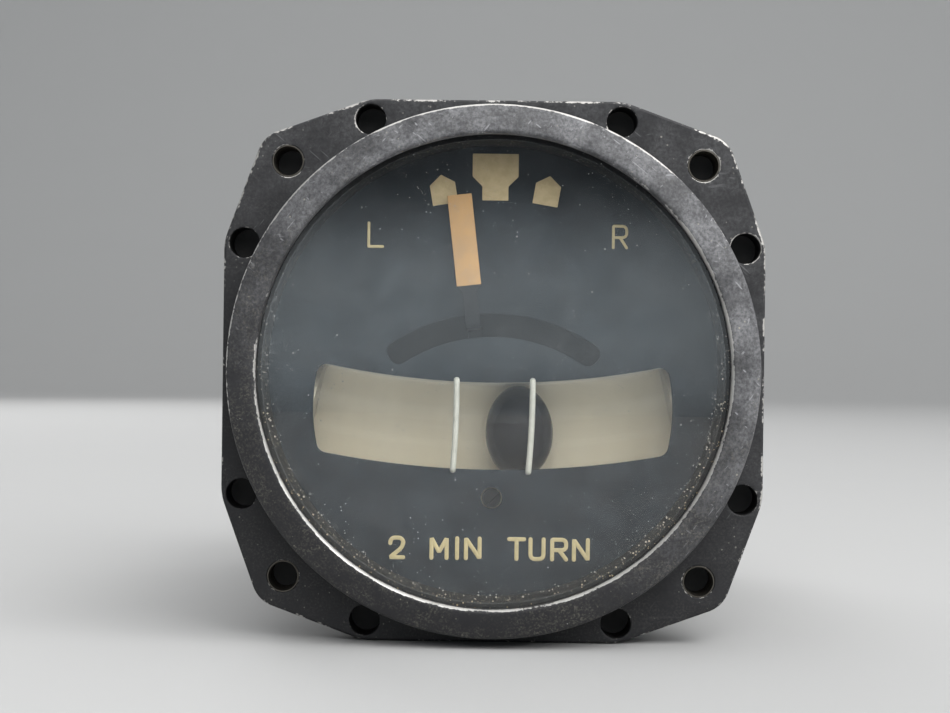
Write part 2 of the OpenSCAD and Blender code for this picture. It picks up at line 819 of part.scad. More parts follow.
function coil(z, steps) =
    [for (i = [0 : steps * spring_turns])
        let (a = 180 + 360 * i / steps)
        [spring_d / 2 * cos(a), spring_d / 2 * sin(a), z + spring_pitch * i / steps]];

spring_path = concat(
    hook(hook_r, 0, -180, 80, 7),
    coil(hook_r + spring_lead, 8),
    hook(stud_hook_r, spring_length, 260, 0, 7));

// Unit directions along a path, and cross directions carried along it without twist
function directions(path) =
    [for (i = [0 : len(path) - 1]) unit(path[min(i + 1, len(path) - 1)] - path[max(i - 1, 0)])];

function cross_directions(along) =
    [for (i = 0, n = unit(cross(along[0], [0, 1, 0])); i < len(along);
          i = i + 1, n = i < len(along) ? unit(n - (n * along[i]) * along[i]) : n) n];

// Tube swept along a path with triangular faces
module swept_tube(path, radius, sides) {
    along = directions(path);
    across = cross_directions(along);
    last = len(path) - 1;
    points = [for (i = [0 : last], k = [0 : sides - 1])
        let (a = 360 * k / sides)
        path[i] + radius * (cos(a) * across[i] + sin(a) * cross(along[i], across[i]))];
    walls = [for (i = [0 : last - 1], k = [0 : sides - 1], half = [0, 1])
        let (a = i * sides + k,
             b = i * sides + (k + 1) % sides)
        half == 0 ? [a, b, b + sides] : [a, b + sides, a + sides]];
    caps = [for (k = [1 : sides - 2], end = [0, 1])
        end == 0 ? [0, k + 1, k] : [last * sides, last * sides + k, last * sides + k + 1]];
    polyhedron(points = points, faces = [for (f = concat(walls, caps)) [f[0], f[2], f[1]]]);
}

// Least gap of the spring to itself, between points more than half a turn apart
spring_gap = min([for (i = [0 : len(spring_path) - 1], j = [i + 5 : 1 : len(spring_path) - 1])
    norm(spring_path[i] - spring_path[j])]) - spring_wire;
echo(spring_gap = spring_gap);

module centering_spring() {
    color("silver") translate([pin_x, spring_y, pin_z])
        rotate([0, -atan2(pin_x, stud_z - pin_z), 0]) swept_tube(spring_path, spring_wire / 2, 6);
}

module air_nozzle() {
    color("goldenrod") difference() {
        union() {
            bar(nozzle_d / 2, nozzle_tip + nozzle_taper, cover_y + 1, 0, nozzle_z);
            cone(nozzle_d / 4 + 0.2, nozzle_d / 2, nozzle_tip, nozzle_tip + nozzle_taper, 0, nozzle_z);
            bar(nozzle_d / 2 + nozzle_flange, cover_y - nozzle_flange, cover_y, 0, nozzle_z);
        }
        bar(nozzle_d / 8, nozzle_tip - 1, cover_y + 2, 0, nozzle_z);
        bar(nozzle_d / 4, nozzle_tip + nozzle_taper + 1, cover_y + 2, 0, nozzle_z);
    }
}

module rear_gasket() {
    color([0.20, 0.16, 0.12]) difference() {
        ring(cover_r, barrel_bore / 2, case_back, cover_y);
        at_cover_screws() bar(cover_screw_r + loose, case_back - over, cover_y + over);
    }
}

module rear_cover() {
    color([0.12, 0.12, 0.13]) difference() {
        union() {
            bar(cover_r, cover_y, cover_back - cover_edge);
            cone(cover_r, cover_r - cover_edge, cover_back - cover_edge, cover_back);
            bar(cover_boss_r, boss_y, cover_y + 1);
            bar(inlet_r + inlet_wall, cover_y + 1, cover_back + inlet_boss, 0, nozzle_z);
            bar(suction_boss_r, cover_y + 1, cover_back + inlet_boss, suction_x, suction_z);
        }
        bar(bearing_r, boss_y - 1, rear_bearing_y + bearing_width + seat);
        bar(plug_neck_r + fit, rear_bearing_y + bearing_width, cover_back + 1);
        bar(inlet_r + fit, cover_back - inlet_seat, cover_back + 5, 0, nozzle_z);
        bar(nozzle_d / 2 + fit, cover_y - 1, cover_back, 0, nozzle_z);
        bar(nipple_bore / 2, cover_y - 1, cover_back + 5, suction_x, suction_z);
        bar(bleed_screw_r + running, cover_y - over, cover_back + over, damper_x, bleed_z);
        bar(bleed_screw_r + fit, cover_y - over, cover_back + over, 0, stud_z);
        at_ears() bar(ear_screw_r + fit, cover_y - 1, cover_y + ear_screw_reach + loose);
        around(pillar_angles, pillar_circle) bar(cover_screw_r + loose, cover_y - over, cover_back + over);
        at_cover_screws() bar(cover_screw_r + loose, cover_y - over, cover_back + over);
    }
}

module rear_cover_screws() {
    reach = cover_back - case_back + rim_thickness - 1.5;
    color("silver") at_cover_screws() rear_screw(cover_head_r, cover_screw_r, cover_back, cover_head, reach);
}

module rear_bearing_plug() {
    color([0.72, 0.62, 0.36]) difference() {
        union() {
            bar(plug_neck_r, rear_bearing_y + bearing_width + 0.5, cover_back + 1);
            bar(plug_r, cover_back, cover_back + plug_head);
        }
        translate([-plug_r - 1, cover_back + plug_head / 2, -plug_slot / 2])
            cube([2 * plug_r + 2, plug_head, plug_slot]);
    }
}

module suction_nipple() {
    seat_y = cover_back + inlet_boss;
    tip_y = seat_y + hex_height + nipple_length;
    flare = 3;
    color([0.74, 0.64, 0.38]) difference() {
        union() {
            translate([suction_x, seat_y, suction_z]) rotate([-90, 0, 0])
                cylinder(h = hex_height, r = hex_r, $fn = 6);
            bar(nipple_d / 2, seat_y + hex_height - 1, tip_y - flare, suction_x, suction_z);
            cone(nipple_d / 2, nipple_bore / 2 + 1, tip_y - flare, tip_y, suction_x, suction_z);
        }
        bar(nipple_bore / 2, seat_y - over, tip_y + over, suction_x, suction_z);
    }
}

module inlet_screen() {
    color([0.55, 0.52, 0.46]) bar(inlet_r - loose, cover_back - inlet_seat, cap_y, 0, nozzle_z);
}

module inlet_cap() {
    head_r = inlet_r + 1.4;
    head = 2.2;
    edge = 0.6;
    seat_y = cover_back + inlet_boss;
    top_y = seat_y + head + edge;
    color([0.74, 0.64, 0.38]) difference() {
        union() {
            bar(inlet_r, cap_y, seat_y + 1, 0, nozzle_z);
            bar(head_r, seat_y, seat_y + head, 0, nozzle_z);
            cone(head_r, head_r - edge, seat_y + head, top_y, 0, nozzle_z);
        }
        translate([0, 0, nozzle_z]) {
            bar(inlet_hole_r, cap_y - over, top_y + over);
            around([0 : 60 : 300], inlet_r * 0.55) bar(inlet_hole_r, cap_y - over, top_y + over);
        }
    }
}

// Gimbal frame outline seen from above, X across and Y back
module frame_outline() {
    cut = 3;
    front = frame_y;
    back = frame_back;
    outer = frame_outer_x;
    difference() {
        polygon([[-outer + cut, front], [outer - cut, front], [outer, front + cut], [outer, back - cut],
            [outer - cut, back], [-outer + cut, back], [-outer, back - cut], [-outer, front + cut]]);
        translate([-frame_inner_x, front + frame_bar])
            square([2 * frame_inner_x, back - front - 2 * frame_bar]);
    }
}

// Bar along X, drawn on the rotor's axis
module side_bar(r, x0, x1) {
    translate([x0, rotor_y, 0]) rotate([0, 90, 0]) cylinder(h = x1 - x0, r = r);
}

module gimbal_frame() {
    color([0.60, 0.61, 0.62]) with_gimbal() difference() {
        union() {
            translate([0, 0, -frame_height / 2]) linear_extrude(frame_height) frame_outline();
            both_sides() side_bar(side_boss_r, frame_inner_x, cap_x);
        }
        bar(gimbal_shaft_r + fit, frame_y - over, frame_y + frame_bar + over);
        bar(gimbal_shaft_r + fit, frame_rear_y - over, frame_back + over);
        both_sides() side_bar(rotor_bearing_r, bearing_x, cap_x + 1);
        both_sides() side_bar(rotor_bearing_r - 1, frame_inner_x - over, bearing_x + over);
    }
}

module gimbal_pivots() {
    color("silver") with_gimbal() {
        bar(gimbal_shaft_r, crank_y, frame_y + frame_bar);
        bar(gimbal_shaft_r, frame_rear_y, rear_bearing_y + bearing_width);
    }
}

module drive_crank() {
    color("goldenrod") with_gimbal() difference() {
        union() {
            bar(crank_boss_r, crank_y, crank_back);
            translate([-crank_half, crank_y, -drive_arm - crank_end])
                cube([2 * crank_half, crank_thickness, drive_arm]);
        }
        bar(gimbal_shaft_r + fit, crank_y - over, crank_back + over);
        bar(drive_pin_r + fit, crank_y - over, crank_back + over, 0, -drive_arm);
    }
}

module drive_pin() {
    color("silver") with_gimbal() bar(drive_pin_r, arm_back + pass / 2, crank_back, 0, -drive_arm);
}

module rear_crank() {
    color("goldenrod") with_gimbal() difference() {
        union() {
            bar(crank_boss_r, rear_crank_y, rear_crank_back);
            translate([-balance_arm - crank_end, rear_crank_y, -crank_half])
                cube([balance_arm + damper_arm + 2 * crank_end, crank_thickness, 2 * crank_half]);
            translate([-crank_half, rear_crank_y, 0])
                cube([2 * crank_half, crank_thickness, spring_arm + crank_end]);
        }
        bar(gimbal_shaft_r + fit, rear_crank_y - over, rear_crank_back + over);
        bar(rear_pin_r + fit, rear_crank_y - over, rear_crank_back + over, damper_arm, 0);
        bar(rear_pin_r + fit, rear_crank_y - over, rear_crank_back + over, 0, spring_arm);
        bar(rear_pin_r + fit, rear_crank_y - over, rear_crank_back + over, -balance_arm, 0);
    }
}

module rear_crank_pins() {
    color("silver") with_gimbal() {
        bar(rear_pin_r, rear_crank_y, rear_crank_back + pin_length, damper_arm, 0);
        bar(rear_pin_r, rear_crank_y, rear_crank_back + pin_length, 0, spring_arm);
    }
}

module balance_weight() {
    color("goldenrod") with_gimbal() {
        bar(rear_pin_r, rear_crank_y, rear_crank_back + 1, -balance_arm, 0);
        ring(weight_r, rear_pin_r - fit, rear_crank_back, rear_crank_back + weight_height, -balance_arm, 0);
    }
}

// Rotor bearing with its axis along X, from x0 outwards
module rotor_bearing() {
    translate([0, rotor_y, 0]) rotate([0, 0, -90])
        bearing(rotor_bearing_r, axle_r, bearing_x, rotor_bearing_width);
}

module rotor_bearings() {
    color("gainsboro") with_gimbal() both_sides() rotor_bearing();
}

module bearing_caps() {
    color("goldenrod") with_gimbal() both_sides() difference() {
        union() {
            side_bar(rotor_bearing_r - fit, bearing_end, cap_x);
            side_bar(side_boss_r - 0.6, cap_x, cap_x + 1.2);
        }
        side_bar(axle_r + 0.5, bearing_end - 1, cap_x);
    }
}

module rotor_wheel() {
    rim_inner = rotor_r * 0.66;
    bevel = 0.6;
    hub = 5;
    web_half = 2.4;
    half = rotor_width / 2;
    bucket_r = 1.9;
    color([0.72, 0.58, 0.30]) with_gimbal() translate([0, rotor_y, 0]) rotate([0, 90, 0]) difference() {
        rotate_extrude() polygon([
            [axle_r + fit, -hub_half], [hub, -hub_half], [hub, -web_half], [rim_inner, -web_half],
            [rim_inner + 1, -half], [rotor_r - bevel, -half], [rotor_r, bevel - half],
            [rotor_r, half - bevel], [rotor_r - bevel, half], [rim_inner + 1, half],
            [rim_inner, web_half], [hub, web_half], [hub, hub_half], [axle_r + fit, hub_half]]);
        for (i = [0 : bucket_count - 1]) rotate([0, 0, 360 * i / bucket_count])
            translate([rotor_r - 0.4, 0, -half / 2]) cylinder(h = half, r = bucket_r);
    }
}

module rotor_axle() {
    color("silver") with_gimbal() {
        side_bar(axle_r, -bearing_end - 0.4, bearing_end + 0.4);
        both_sides() difference() {
            side_bar(axle_shoulder_r, hub_half, bearing_x - seat);
            side_bar(axle_r + fit, hub_half - over, bearing_x + over);
        }
    }
}

module hand_staff() {
    color("silver") translate([0, 0, -staff_drop]) {
        bar(staff_r, staff_front, plate_y - seam);
        bar(pivot_r, bearing_back - pivot_reach, staff_front + 1);
        bar(pivot_r, plate_y - seam - 1, plate_back - 0.4);
    }
}

module hand_fork() {
    slot = drive_pin_r + fork_play;
    tine = 1.2;
    reach = fork_length + 2.6;
    color("goldenrod") with_hand() difference() {
        union() {
            bar(hub_r, fork_y, fork_back);
            translate([-slot - tine, fork_y, 0]) cube([2 * (slot + tine), fork_thickness, reach]);
        }
        bar(staff_r + fit, fork_y - over, fork_back + over);
        translate([-slot, fork_y - 1, hub_r]) cube([2 * slot, fork_thickness + 2, reach]);
    }
}

module turn_hand() {
    leg_top = slot_radius + leg_depth / 2;
    leg_low = slot_radius - leg_depth / 2;
    shoulder = hand_tip - hand_tip_length;
    color([0.86, 0.60, 0.32]) with_hand() difference() {
        union() {
            bar(hub_r, arm_y, arm_back);
            translate([-arm_width / 2, arm_y, 0]) cube([arm_width, hand_thickness, leg_top]);
            translate([-arm_width / 2, strip_y, leg_low]) cube([arm_width, arm_back - strip_y, leg_depth]);
            sheet(strip_y, hand_thickness) polygon([
                [-arm_width / 2, leg_low], [arm_width / 2, leg_low], [arm_width / 2, shoulder - 1],
                [hand_width / 2, shoulder], [hand_width / 2, hand_tip], [-hand_width / 2, hand_tip],
                [-hand_width / 2, shoulder], [-arm_width / 2, shoulder - 1]]);
        }
        bar(staff_r + fit, arm_y - over, arm_back + over);
    }
}

module hand_weight() {
    tail = 8.5;
    tail_half = 0.8;
    bob_r = 2.2;
    color("goldenrod") with_hand() difference() {
        union() {
            bar(hub_r, arm_back, fork_y);
            translate([-tail_half, arm_back, -tail]) cube([2 * tail_half, fork_y - arm_back, tail]);
            bar(bob_r, arm_back, fork_back, 0, -tail);
        }
        bar(staff_r + fit, arm_back - over, fork_back + over);
    }
}

module damper_piston() {
    color([0.35, 0.35, 0.37]) translate([damper_x, damper_y, piston_mid + damper_shift]) difference() {
        cylinder(h = piston_thickness, r = damper_bore / 2 - running, center = true);
        cylinder(h = piston_thickness + 2, r = rod_r + fit, center = true);
    }
}

module damper_rod() {
    slot = rear_pin_r + seat;
    slot_half = slot + damper_arm * (1 - cos(gimbal_stop)) / 2 + loose;
    yoke_wall = 1.2;
    color("silver") translate([damper_x, damper_y, damper_shift]) difference() {
        union() {
            translate([0, 0, piston_mid - piston_thickness / 2])
                cylinder(h = -piston_mid + piston_thickness / 2 - yoke_height / 2, r = rod_r);
            translate([-slot_half - yoke_wall, -yoke_half, -yoke_height])
                cube([2 * (slot_half + yoke_wall), 2 * yoke_half, 2 * yoke_height]);
        }
        translate([-slot_half, -yoke_half - 1, -slot]) cube([2 * slot_half, 2 * yoke_half + 2, 2 * slot]);
    }
}

module slip_ball() {
    color([0.04, 0.04, 0.06]) on_bend(ball_rest, tube_bend + ball_clearance)
        translate([0, tube_y, 0]) sphere(r = ball_r);
}

case_body();
mounting_inserts();
bezel_ring();
cover_glass();
glass_gasket();
dial_spacer();
dial_plate();
dial_marks();
index_wires();
inclinometer_holder();
tube_backing();
inclinometer_tube();
tube_stoppers();
holder_screws();
staff_bearing_screw();
staff_rear_bush();
front_plate();
frame_pillars();
pillar_screws();
limit_stops();
gimbal_front_bearing();
gimbal_rear_bearing();
damper_cylinder();
damper_screws();
damping_screw();
spring_stud();
centering_spring();
air_nozzle();
rear_gasket();
rear_cover();
rear_cover_screws();
rear_bearing_plug();
suction_nipple();
inlet_screen();
inlet_cap();
gimbal_frame();
gimbal_pivots();
drive_crank();
drive_pin();
rear_crank();
rear_crank_pins();
balance_weight();
rotor_bearings();
bearing_caps();
rotor_wheel();
rotor_axle();
hand_staff();
hand_fork();
turn_hand();
hand_weight();
damper_piston();
damper_rod();
slip_ball();
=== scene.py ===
"""Looks of an aircraft turn and slip indicator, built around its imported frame.

Sizes are millimetres in the part's own frame: X runs to the right of the dial, Y runs back into the
panel and Z is up, with the origin at the centre of the flange face. Meshes are written in metres.
"""
import sys
import logging
import math
from collections.abc import Sequence
from dataclasses import dataclass, field
from enum import Enum

import bmesh
import bpy
import numpy as np
from mathutils import Matrix, Vector
from mathutils.geometry import delaunay_2d_cdt


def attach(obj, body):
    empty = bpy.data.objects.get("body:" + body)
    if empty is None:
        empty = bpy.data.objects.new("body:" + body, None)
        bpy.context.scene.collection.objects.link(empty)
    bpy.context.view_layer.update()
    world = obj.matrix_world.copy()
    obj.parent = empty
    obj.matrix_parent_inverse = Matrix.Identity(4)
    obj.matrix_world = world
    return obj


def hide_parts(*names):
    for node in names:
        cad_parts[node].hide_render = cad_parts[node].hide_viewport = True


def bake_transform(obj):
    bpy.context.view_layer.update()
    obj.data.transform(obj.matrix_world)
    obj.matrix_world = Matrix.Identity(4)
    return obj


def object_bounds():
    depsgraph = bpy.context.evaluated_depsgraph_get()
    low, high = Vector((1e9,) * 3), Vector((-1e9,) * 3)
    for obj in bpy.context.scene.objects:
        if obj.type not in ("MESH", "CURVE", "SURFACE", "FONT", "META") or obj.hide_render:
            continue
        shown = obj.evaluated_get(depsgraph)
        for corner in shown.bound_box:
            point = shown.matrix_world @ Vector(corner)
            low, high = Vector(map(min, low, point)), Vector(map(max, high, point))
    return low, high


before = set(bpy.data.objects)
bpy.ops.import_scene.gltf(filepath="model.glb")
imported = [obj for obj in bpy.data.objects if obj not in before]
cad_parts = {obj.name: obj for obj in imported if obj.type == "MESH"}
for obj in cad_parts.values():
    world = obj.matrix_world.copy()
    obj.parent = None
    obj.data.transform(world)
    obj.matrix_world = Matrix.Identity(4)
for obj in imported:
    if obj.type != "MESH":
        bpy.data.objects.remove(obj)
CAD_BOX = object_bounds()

Array = np.ndarray
Triple = tuple[float, float, float]
Colour = Triple
Socket = bpy.types.NodeSocket
LOG = logging.getLogger("turn_and_slip")
MM = 0.001
TAU = 2.0 * math.pi
QUARTERS = np.array([[1, 1], [-1, 1], [-1, -1], [1, -1]], float)
# Millimetres behind a rounded edge at which wear has faded, on a wall and in a blind hole
WALL_RING = 0.8
HOLE_RING = 0.6
# Depth of the drill point in the floor of a blind hole, in millimetres
DRILL_POINT = 0.3
# Wear at the rim of a flat face, where the middle of a rounded edge has 1
FACE_WEAR = 0.7
# Distance of the rows in a staggered grid, and its clearance from outlines, in grid spaces
ROW_STEP = 0.87
GRID_CLEARANCE = 0.35
# Faces are filled inside their rings alone, with points this near each other as one, in millimetres
FILL_INSIDE = 1
FILL_NEAR = 1e-6
# Stands for the rise of a level side, so that nothing is divided by 0
NO_RISE = 1e-12
# Least divisor of a mitre, so that a sharp corner's mitre doesn't run out far
MITRE_LEAST = 0.5
# A direction that no path starts along
ASIDE = (0.31, 0.87, 0.38)
# Points of a mesh this near each other become one, and edges this short go, in metres
SAME_POINT = 1e-6
NO_LENGTH = 1e-7
# Angles on copies of CAD nodes, in degrees: faces that become one, edges that stay sharp or are rounded
FLAT_DEGREES = 0.6
SHARP_DEGREES = 30.0
BEVEL_DEGREES = 40.0
# Edges of a new piece that turn by more than this many degrees stay sharp
CREASE_DEGREES = 35.0
# Direction towards the lit top right: enamel scuffs and chips grow towards it as painted light, the dust film
# grows the other way; both change over this reach to both sides, in metres
LIGHT_AND_DUST_WAY = (0.45, 0.0, 0.9)
LIGHT_AND_DUST_REACH = 0.030
# Point behind the dial that lamps aim at, in metres
DIAL_AIM = (0.0, 0.02, 0.0)


class Body(Enum):
    """Bodies of the frame that pieces ride on."""

    CASE = "case"
    GIMBAL = "gimbal"
    HAND = "hand"
    BALL = "ball"
    DAMPING_SCREW = "damping_screw"


class Slot(Enum):
    """Material slots of the record."""

    CASE = "case_paint"
    BEZEL = "bezel_paint"
    COVER = "cover_paint"
    INSERT = "insert_steel"
    GLASS = "cover_glass"
    RUBBER = "black_rubber"
    DIAL = "dial_black"
    MARK = "mark_paint"
    WIRE = "wire_white"
    TUBE = "tube_glass"
    STEEL = "steel"
    DARK_SCREW = "dark_screw"
    REAR_SCREW = "rear_screws"
    BRASS = "brass"
    HAND = "hand_paint"
    BALL = "ball_black"


# Shapes


@dataclass
class Surface:
    """A mesh as arrays.

    Attributes:
        points: Corner points in millimetres, one row each.
        faces: Blocks of faces, each an array with one row of point numbers a face.
        values: Named point values, such as how exposed to wear a point is.
    """

    points: Array
    faces: list[Array]
    values: dict[str, Array] = field(default_factory=dict)

    def volume(self) -> float:
        """Signed volume: a sixth of the sum of the triple products of all the triangles.

        Returns:
            The volume in cubic millimetres, below 0 where faces point inwards.
        """
        total = 0.0
        for block in self.faces:
            for last in range(2, block.shape[1]):
                a, b, c = (self.points[block[:, k]] for k in (0, last - 1, last))
                total += float(np.einsum("ij,ij->", a, np.cross(b, c)))
        return total / 6.0

    def outward(self) -> "Surface":
        """Turns every face round where the signed volume is negative.

        Returns:
            The surface itself.
        """
        if self.volume() < 0.0:
            self.faces = [block[:, ::-1] for block in self.faces]
        return self

    def moved(self, x: float = 0.0, y: float = 0.0, z: float = 0.0) -> "Surface":
        """A copy that is shifted by x, y and z."""
        return Surface(self.points + np.array([x, y, z]), list(self.faces), dict(self.values))


def joined(parts: Sequence[Surface]) -> Surface:
    """Puts several surfaces into one.

    Args:
        parts: Surfaces, each closed by itself.

    Returns:
        One surface whose missing point values are 0.
    """
    starts = np.cumsum([0] + [len(part.points) for part in parts])
    names = sorted({name for part in parts for name in part.values})
    return Surface(
        np.concatenate([part.points for part in parts]),
        [block + start for part, start in zip(parts, starts) for block in part.faces],
        {name: np.concatenate([part.values.get(name, np.zeros(len(part.points))) for part in parts])
         for name in names},
    )


def ring_grid(points: Array, closed: bool, values: dict[str, Array] | None = None) -> Surface:
    """Joins rings of points by quads: points k and k + 1 of a ring, and the same two of the next ring.

    Args:
        points: Rings by points by 3. Each ring is a loop.
        closed: Whether the last ring joins the first.
        values: Point values as rings by points.

    Returns:
        The surface, facing outwards.
    """
    rings, count = points.shape[:2]
    index = np.arange(rings * count).reshape(rings, count)
    ahead = np.roll(index, -1, axis=1)
    low, high = (index, np.roll(index, -1, axis=0)) if closed else (index[:-1], index[1:])
    low_ahead, high_ahead = (ahead, np.roll(ahead, -1, axis=0)) if closed else (ahead[:-1], ahead[1:])
    quads = np.stack([low, low_ahead, high_ahead, high], axis=-1).reshape(-1, 4)
    flat = {name: np.broadcast_to(value, (rings, count)).reshape(-1).copy()
            for name, value in (values or {}).items()}
    return Surface(points.reshape(-1, 3), [quads], flat).outward()


def lathe(profile: Array, closed: bool = True, segments: int = 192, edge: Array | None = None) -> Surface:
    """Turns a profile about the Y axis: a point (r, y) becomes (r cos a, y, r sin a) for a full turn of a.

    Args:
        profile: Radius and depth, one row each. It is a loop, or runs from pole to pole.
        closed: Whether the profile is a loop.
        segments: Steps in a turn.
        edge: Wear value of each profile point.

    Returns:
        The turned surface.
    """
    angle = np.linspace(0.0, TAU, segments, endpoint=False)
    radius, depth = profile[:, :1], profile[:, 1:]
    points = np.stack(np.broadcast_arrays(radius * np.cos(angle), depth, radius * np.sin(angle)), axis=-1)
    wear = np.zeros(len(profile)) if edge is None else edge
    return ring_grid(points, closed, {"edge": wear[:, None]})


def helix(radius: Array, depth: Array, pitch: float, groove: float, segments: int,
          where: Array) -> Surface:
    """Turns a loop of radii and cuts a screw thread into it.

    The groove at depth y and angle a is groove times the distance of y / pitch + a / turn from the
    nearest whole number, doubled, so the crest runs round as a helix.

    Args:
        radius: Radius of each ring.
        depth: Depth of each ring.
        pitch: Thread pitch.
        groove: Depth of the groove.
        segments: Steps in a turn.
        where: How much of the thread each ring has, from 0 to 1. Below 0 it is cut outwards from a bore.

    Returns:
        The threaded surface.
    """
    angle = np.linspace(0.0, TAU, segments, endpoint=False)
    phase = depth[:, None] / pitch + angle / TAU
    wave = 2.0 * np.abs(phase - np.round(phase))
    cut = radius[:, None] - groove * wave * where[:, None]
    depths = np.broadcast_to(depth[:, None], cut.shape)
    points = np.stack([cut * np.cos(angle), depths, cut * np.sin(angle)], axis=-1)
    return ring_grid(points, True, {"edge": (1.0 - wave) * where[:, None]})


def smoothed(corners: Array, reach: Array | float, steps: int = 6, loop: bool = True) -> Array:
    """Rounds the corners of a polyline with parabolas.

    A corner P between unit directions u and v becomes (1-s)^2 (P - t u) + 2 s (1-s) P + s^2 (P + t v)
    for s from 0 to 1, where t is the corner's reach.

    Args:
        corners: Corner points, one row each.
        reach: How far the rounding reaches from each corner.
        steps: Steps in each rounding.
        loop: Whether the polyline is closed. An open one keeps its ends.

    Returns:
        The rounded polyline.
    """
    before = corners - np.roll(corners, 1, axis=0)
    after = np.roll(corners, -1, axis=0) - corners
    u = before / np.linalg.norm(before, axis=1, keepdims=True)
    v = after / np.linalg.norm(after, axis=1, keepdims=True)
    t = np.broadcast_to(np.asarray(reach, float), (len(corners),))[:, None]
    s = np.linspace(0.0, 1.0, steps + 1)[:, None]
    start, mid, end = ((corners - t * u)[:, None], corners[:, None], (corners + t * v)[:, None])
    curve = (1 - s) ** 2 * start + 2 * s * (1 - s) * mid + s ** 2 * end
    if loop:
        return curve.reshape(-1, corners.shape[1])
    inner = curve[1:-1].reshape(-1, corners.shape[1])
    return np.concatenate([corners[:1], inner, corners[-1:]])


def resampled(line: Array, count: int, loop: bool = True) -> Array:
    """Spaces points evenly along a polyline by its length.

    Args:
        line: Points, one row each.
        count: Number of points wanted.
        loop: Whether the polyline is closed.

    Returns:
        The evenly spaced points.
    """
    path = np.concatenate([line, line[:1]]) if loop else line
    run = np.concatenate([[0.0], np.cumsum(np.linalg.norm(np.diff(path, axis=0), axis=1))])
    keep = np.concatenate([[True], np.diff(run) > 0.0])
    wanted = np.linspace(0.0, run[-1], count, endpoint=not loop)
    return np.stack([np.interp(wanted, run[keep], path[keep, k]) for k in range(path.shape[1])], axis=1)


def arc(x: float, z: float, radius: float, start: float, stop: float, count: int = 60) -> Array:
    """Points on a circle about (x, z) from one angle to another."""
    angle = np.linspace(start, stop, count)
    return np.stack([x + radius * np.cos(angle), z + radius * np.sin(angle)], axis=1)


def circle(radius: float, count: int, x: float = 0.0, z: float = 0.0) -> Array:
    """A round outline about (x, z), anticlockwise."""
    return arc(x, z, radius, 0.0, TAU, count + 1)[:-1]


def turned(x: Array, z: Array, angle: float) -> tuple[Array, Array]:
    """X and Z turned clockwise by an angle, as seen from the front."""
    return x * math.cos(angle) + z * math.sin(angle), z * math.cos(angle) - x * math.sin(angle)


def directions(path: Array) -> Array:
    """Unit direction of a path at each of its points."""
    along = np.gradient(path, axis=0)
    return along / np.linalg.norm(along, axis=1, keepdims=True)


def with_ends(rows: Array, count: int) -> Array:
    """Rows with the first and the last one repeated count more times."""
    return np.concatenate([np.repeat(rows[:1], count, axis=0), rows, np.repeat(rows[-1:], count, axis=0)])


def domed(path: Array, along: Array, radius: float, count: int) -> tuple[Array, Array]:
    """Adds stations on a quarter circle to both ends of a path, so what is carried closes in a dome.

    Args:
        path: Points of the middle line.
        along: Directions of the middle line.
        radius: Radius of the quarter circle.
        count: Stations to add at each end.

    Returns:
        All the stations, and the share of its full size that the section has at each.
    """
    t = np.linspace(math.pi / 2.0, 0.0, count + 1)[:-1]
    reach = radius * np.sin(t)[:, None]
    stations = np.concatenate([path[:1] - reach * along[:1], path, path[-1:] + reach[::-1] * along[-1:]])
    return stations, np.concatenate([np.cos(t), np.ones(len(path)), np.cos(t[::-1])])


def box_outline(half_width: float, half_height: float, corner: float, count: int) -> Array:
    """A rectangle with rounded corners, anticlockwise, as evenly spaced points."""
    sign = np.array([[1, -1], [1, 1], [-1, 1], [-1, -1]], float)
    return resampled(smoothed(sign * [half_width, half_height], corner, steps=10), count)


def inset_direction(outline: Array) -> Array:
    """Direction at each outline point that moves both its sides left by 1: the mitre of their normals.

    Args:
        outline: Outline points, anticlockwise.

    Returns:
        One direction a point.
    """
    step = np.roll(outline, -1, axis=0) - outline
    step = step / np.linalg.norm(step, axis=1, keepdims=True)
    after = np.stack([-step[:, 1], step[:, 0]], axis=1)
    before = np.roll(after, 1, axis=0)
    middle = before + after
    return middle / np.maximum(np.einsum("ij,ij->i", middle, after), MITRE_LEAST)[:, None]


def inside(points: Array, outline: Array) -> Array:
    """Even-odd test: which points a ray to the right crosses the outline from an odd number of times.

    Args:
        points: Points to test.
        outline: Points of a closed outline.

    Returns:
        One answer a point.
    """
    a, b = outline, np.roll(outline, -1, axis=0)
    x, z = points[:, :1], points[:, 1:]
    rise = np.where(b[:, 1] == a[:, 1], NO_RISE, b[:, 1] - a[:, 1])
    crossing = (a[:, 1] > z) != (b[:, 1] > z)
    at = a[:, 0] + (z - a[:, 1]) * (b[:, 0] - a[:, 0]) / rise
    return (np.sum(crossing & (x < at), axis=1) % 2).astype(bool)


def filled(rings: Sequence[Array], inner: Array) -> Array:
    """Fills the space between an outline and its holes with triangles.

    Args:
        rings: The outer ring first, then the holes.
        inner: Points between them that become corners too.

    Returns:
        Triangles as rows of numbers, counted through all the rings and then the inner points.
    """
    flat = np.concatenate([*rings, inner])
    starts = np.cumsum([0] + [len(ring) for ring in rings])
    edges = np.concatenate([
        np.stack([np.arange(len(ring)), (np.arange(len(ring)) + 1) % len(ring)], axis=1) + start
        for ring, start in zip(rings, starts)])
    made = delaunay_2d_cdt(list(map(Vector, flat.tolist())), edges.tolist(), [], FILL_INSIDE, FILL_NEAR)
    source = np.array([ids[0] for ids in made[3]])
    triangles = source[np.array(made[2])]
    return triangles[between(flat[triangles].mean(axis=1), rings)]


def between(points: Array, rings: Sequence[Array]) -> Array:
    """Which points lie in the first ring and in none of the others.

    Args:
        points: Points to test.
        rings: The outer ring first, then the holes.

    Returns:
        One answer a point.
    """
    keep = inside(points, rings[0])
    for ring in rings[1:]:
        keep &= ~inside(points, ring)
    return keep


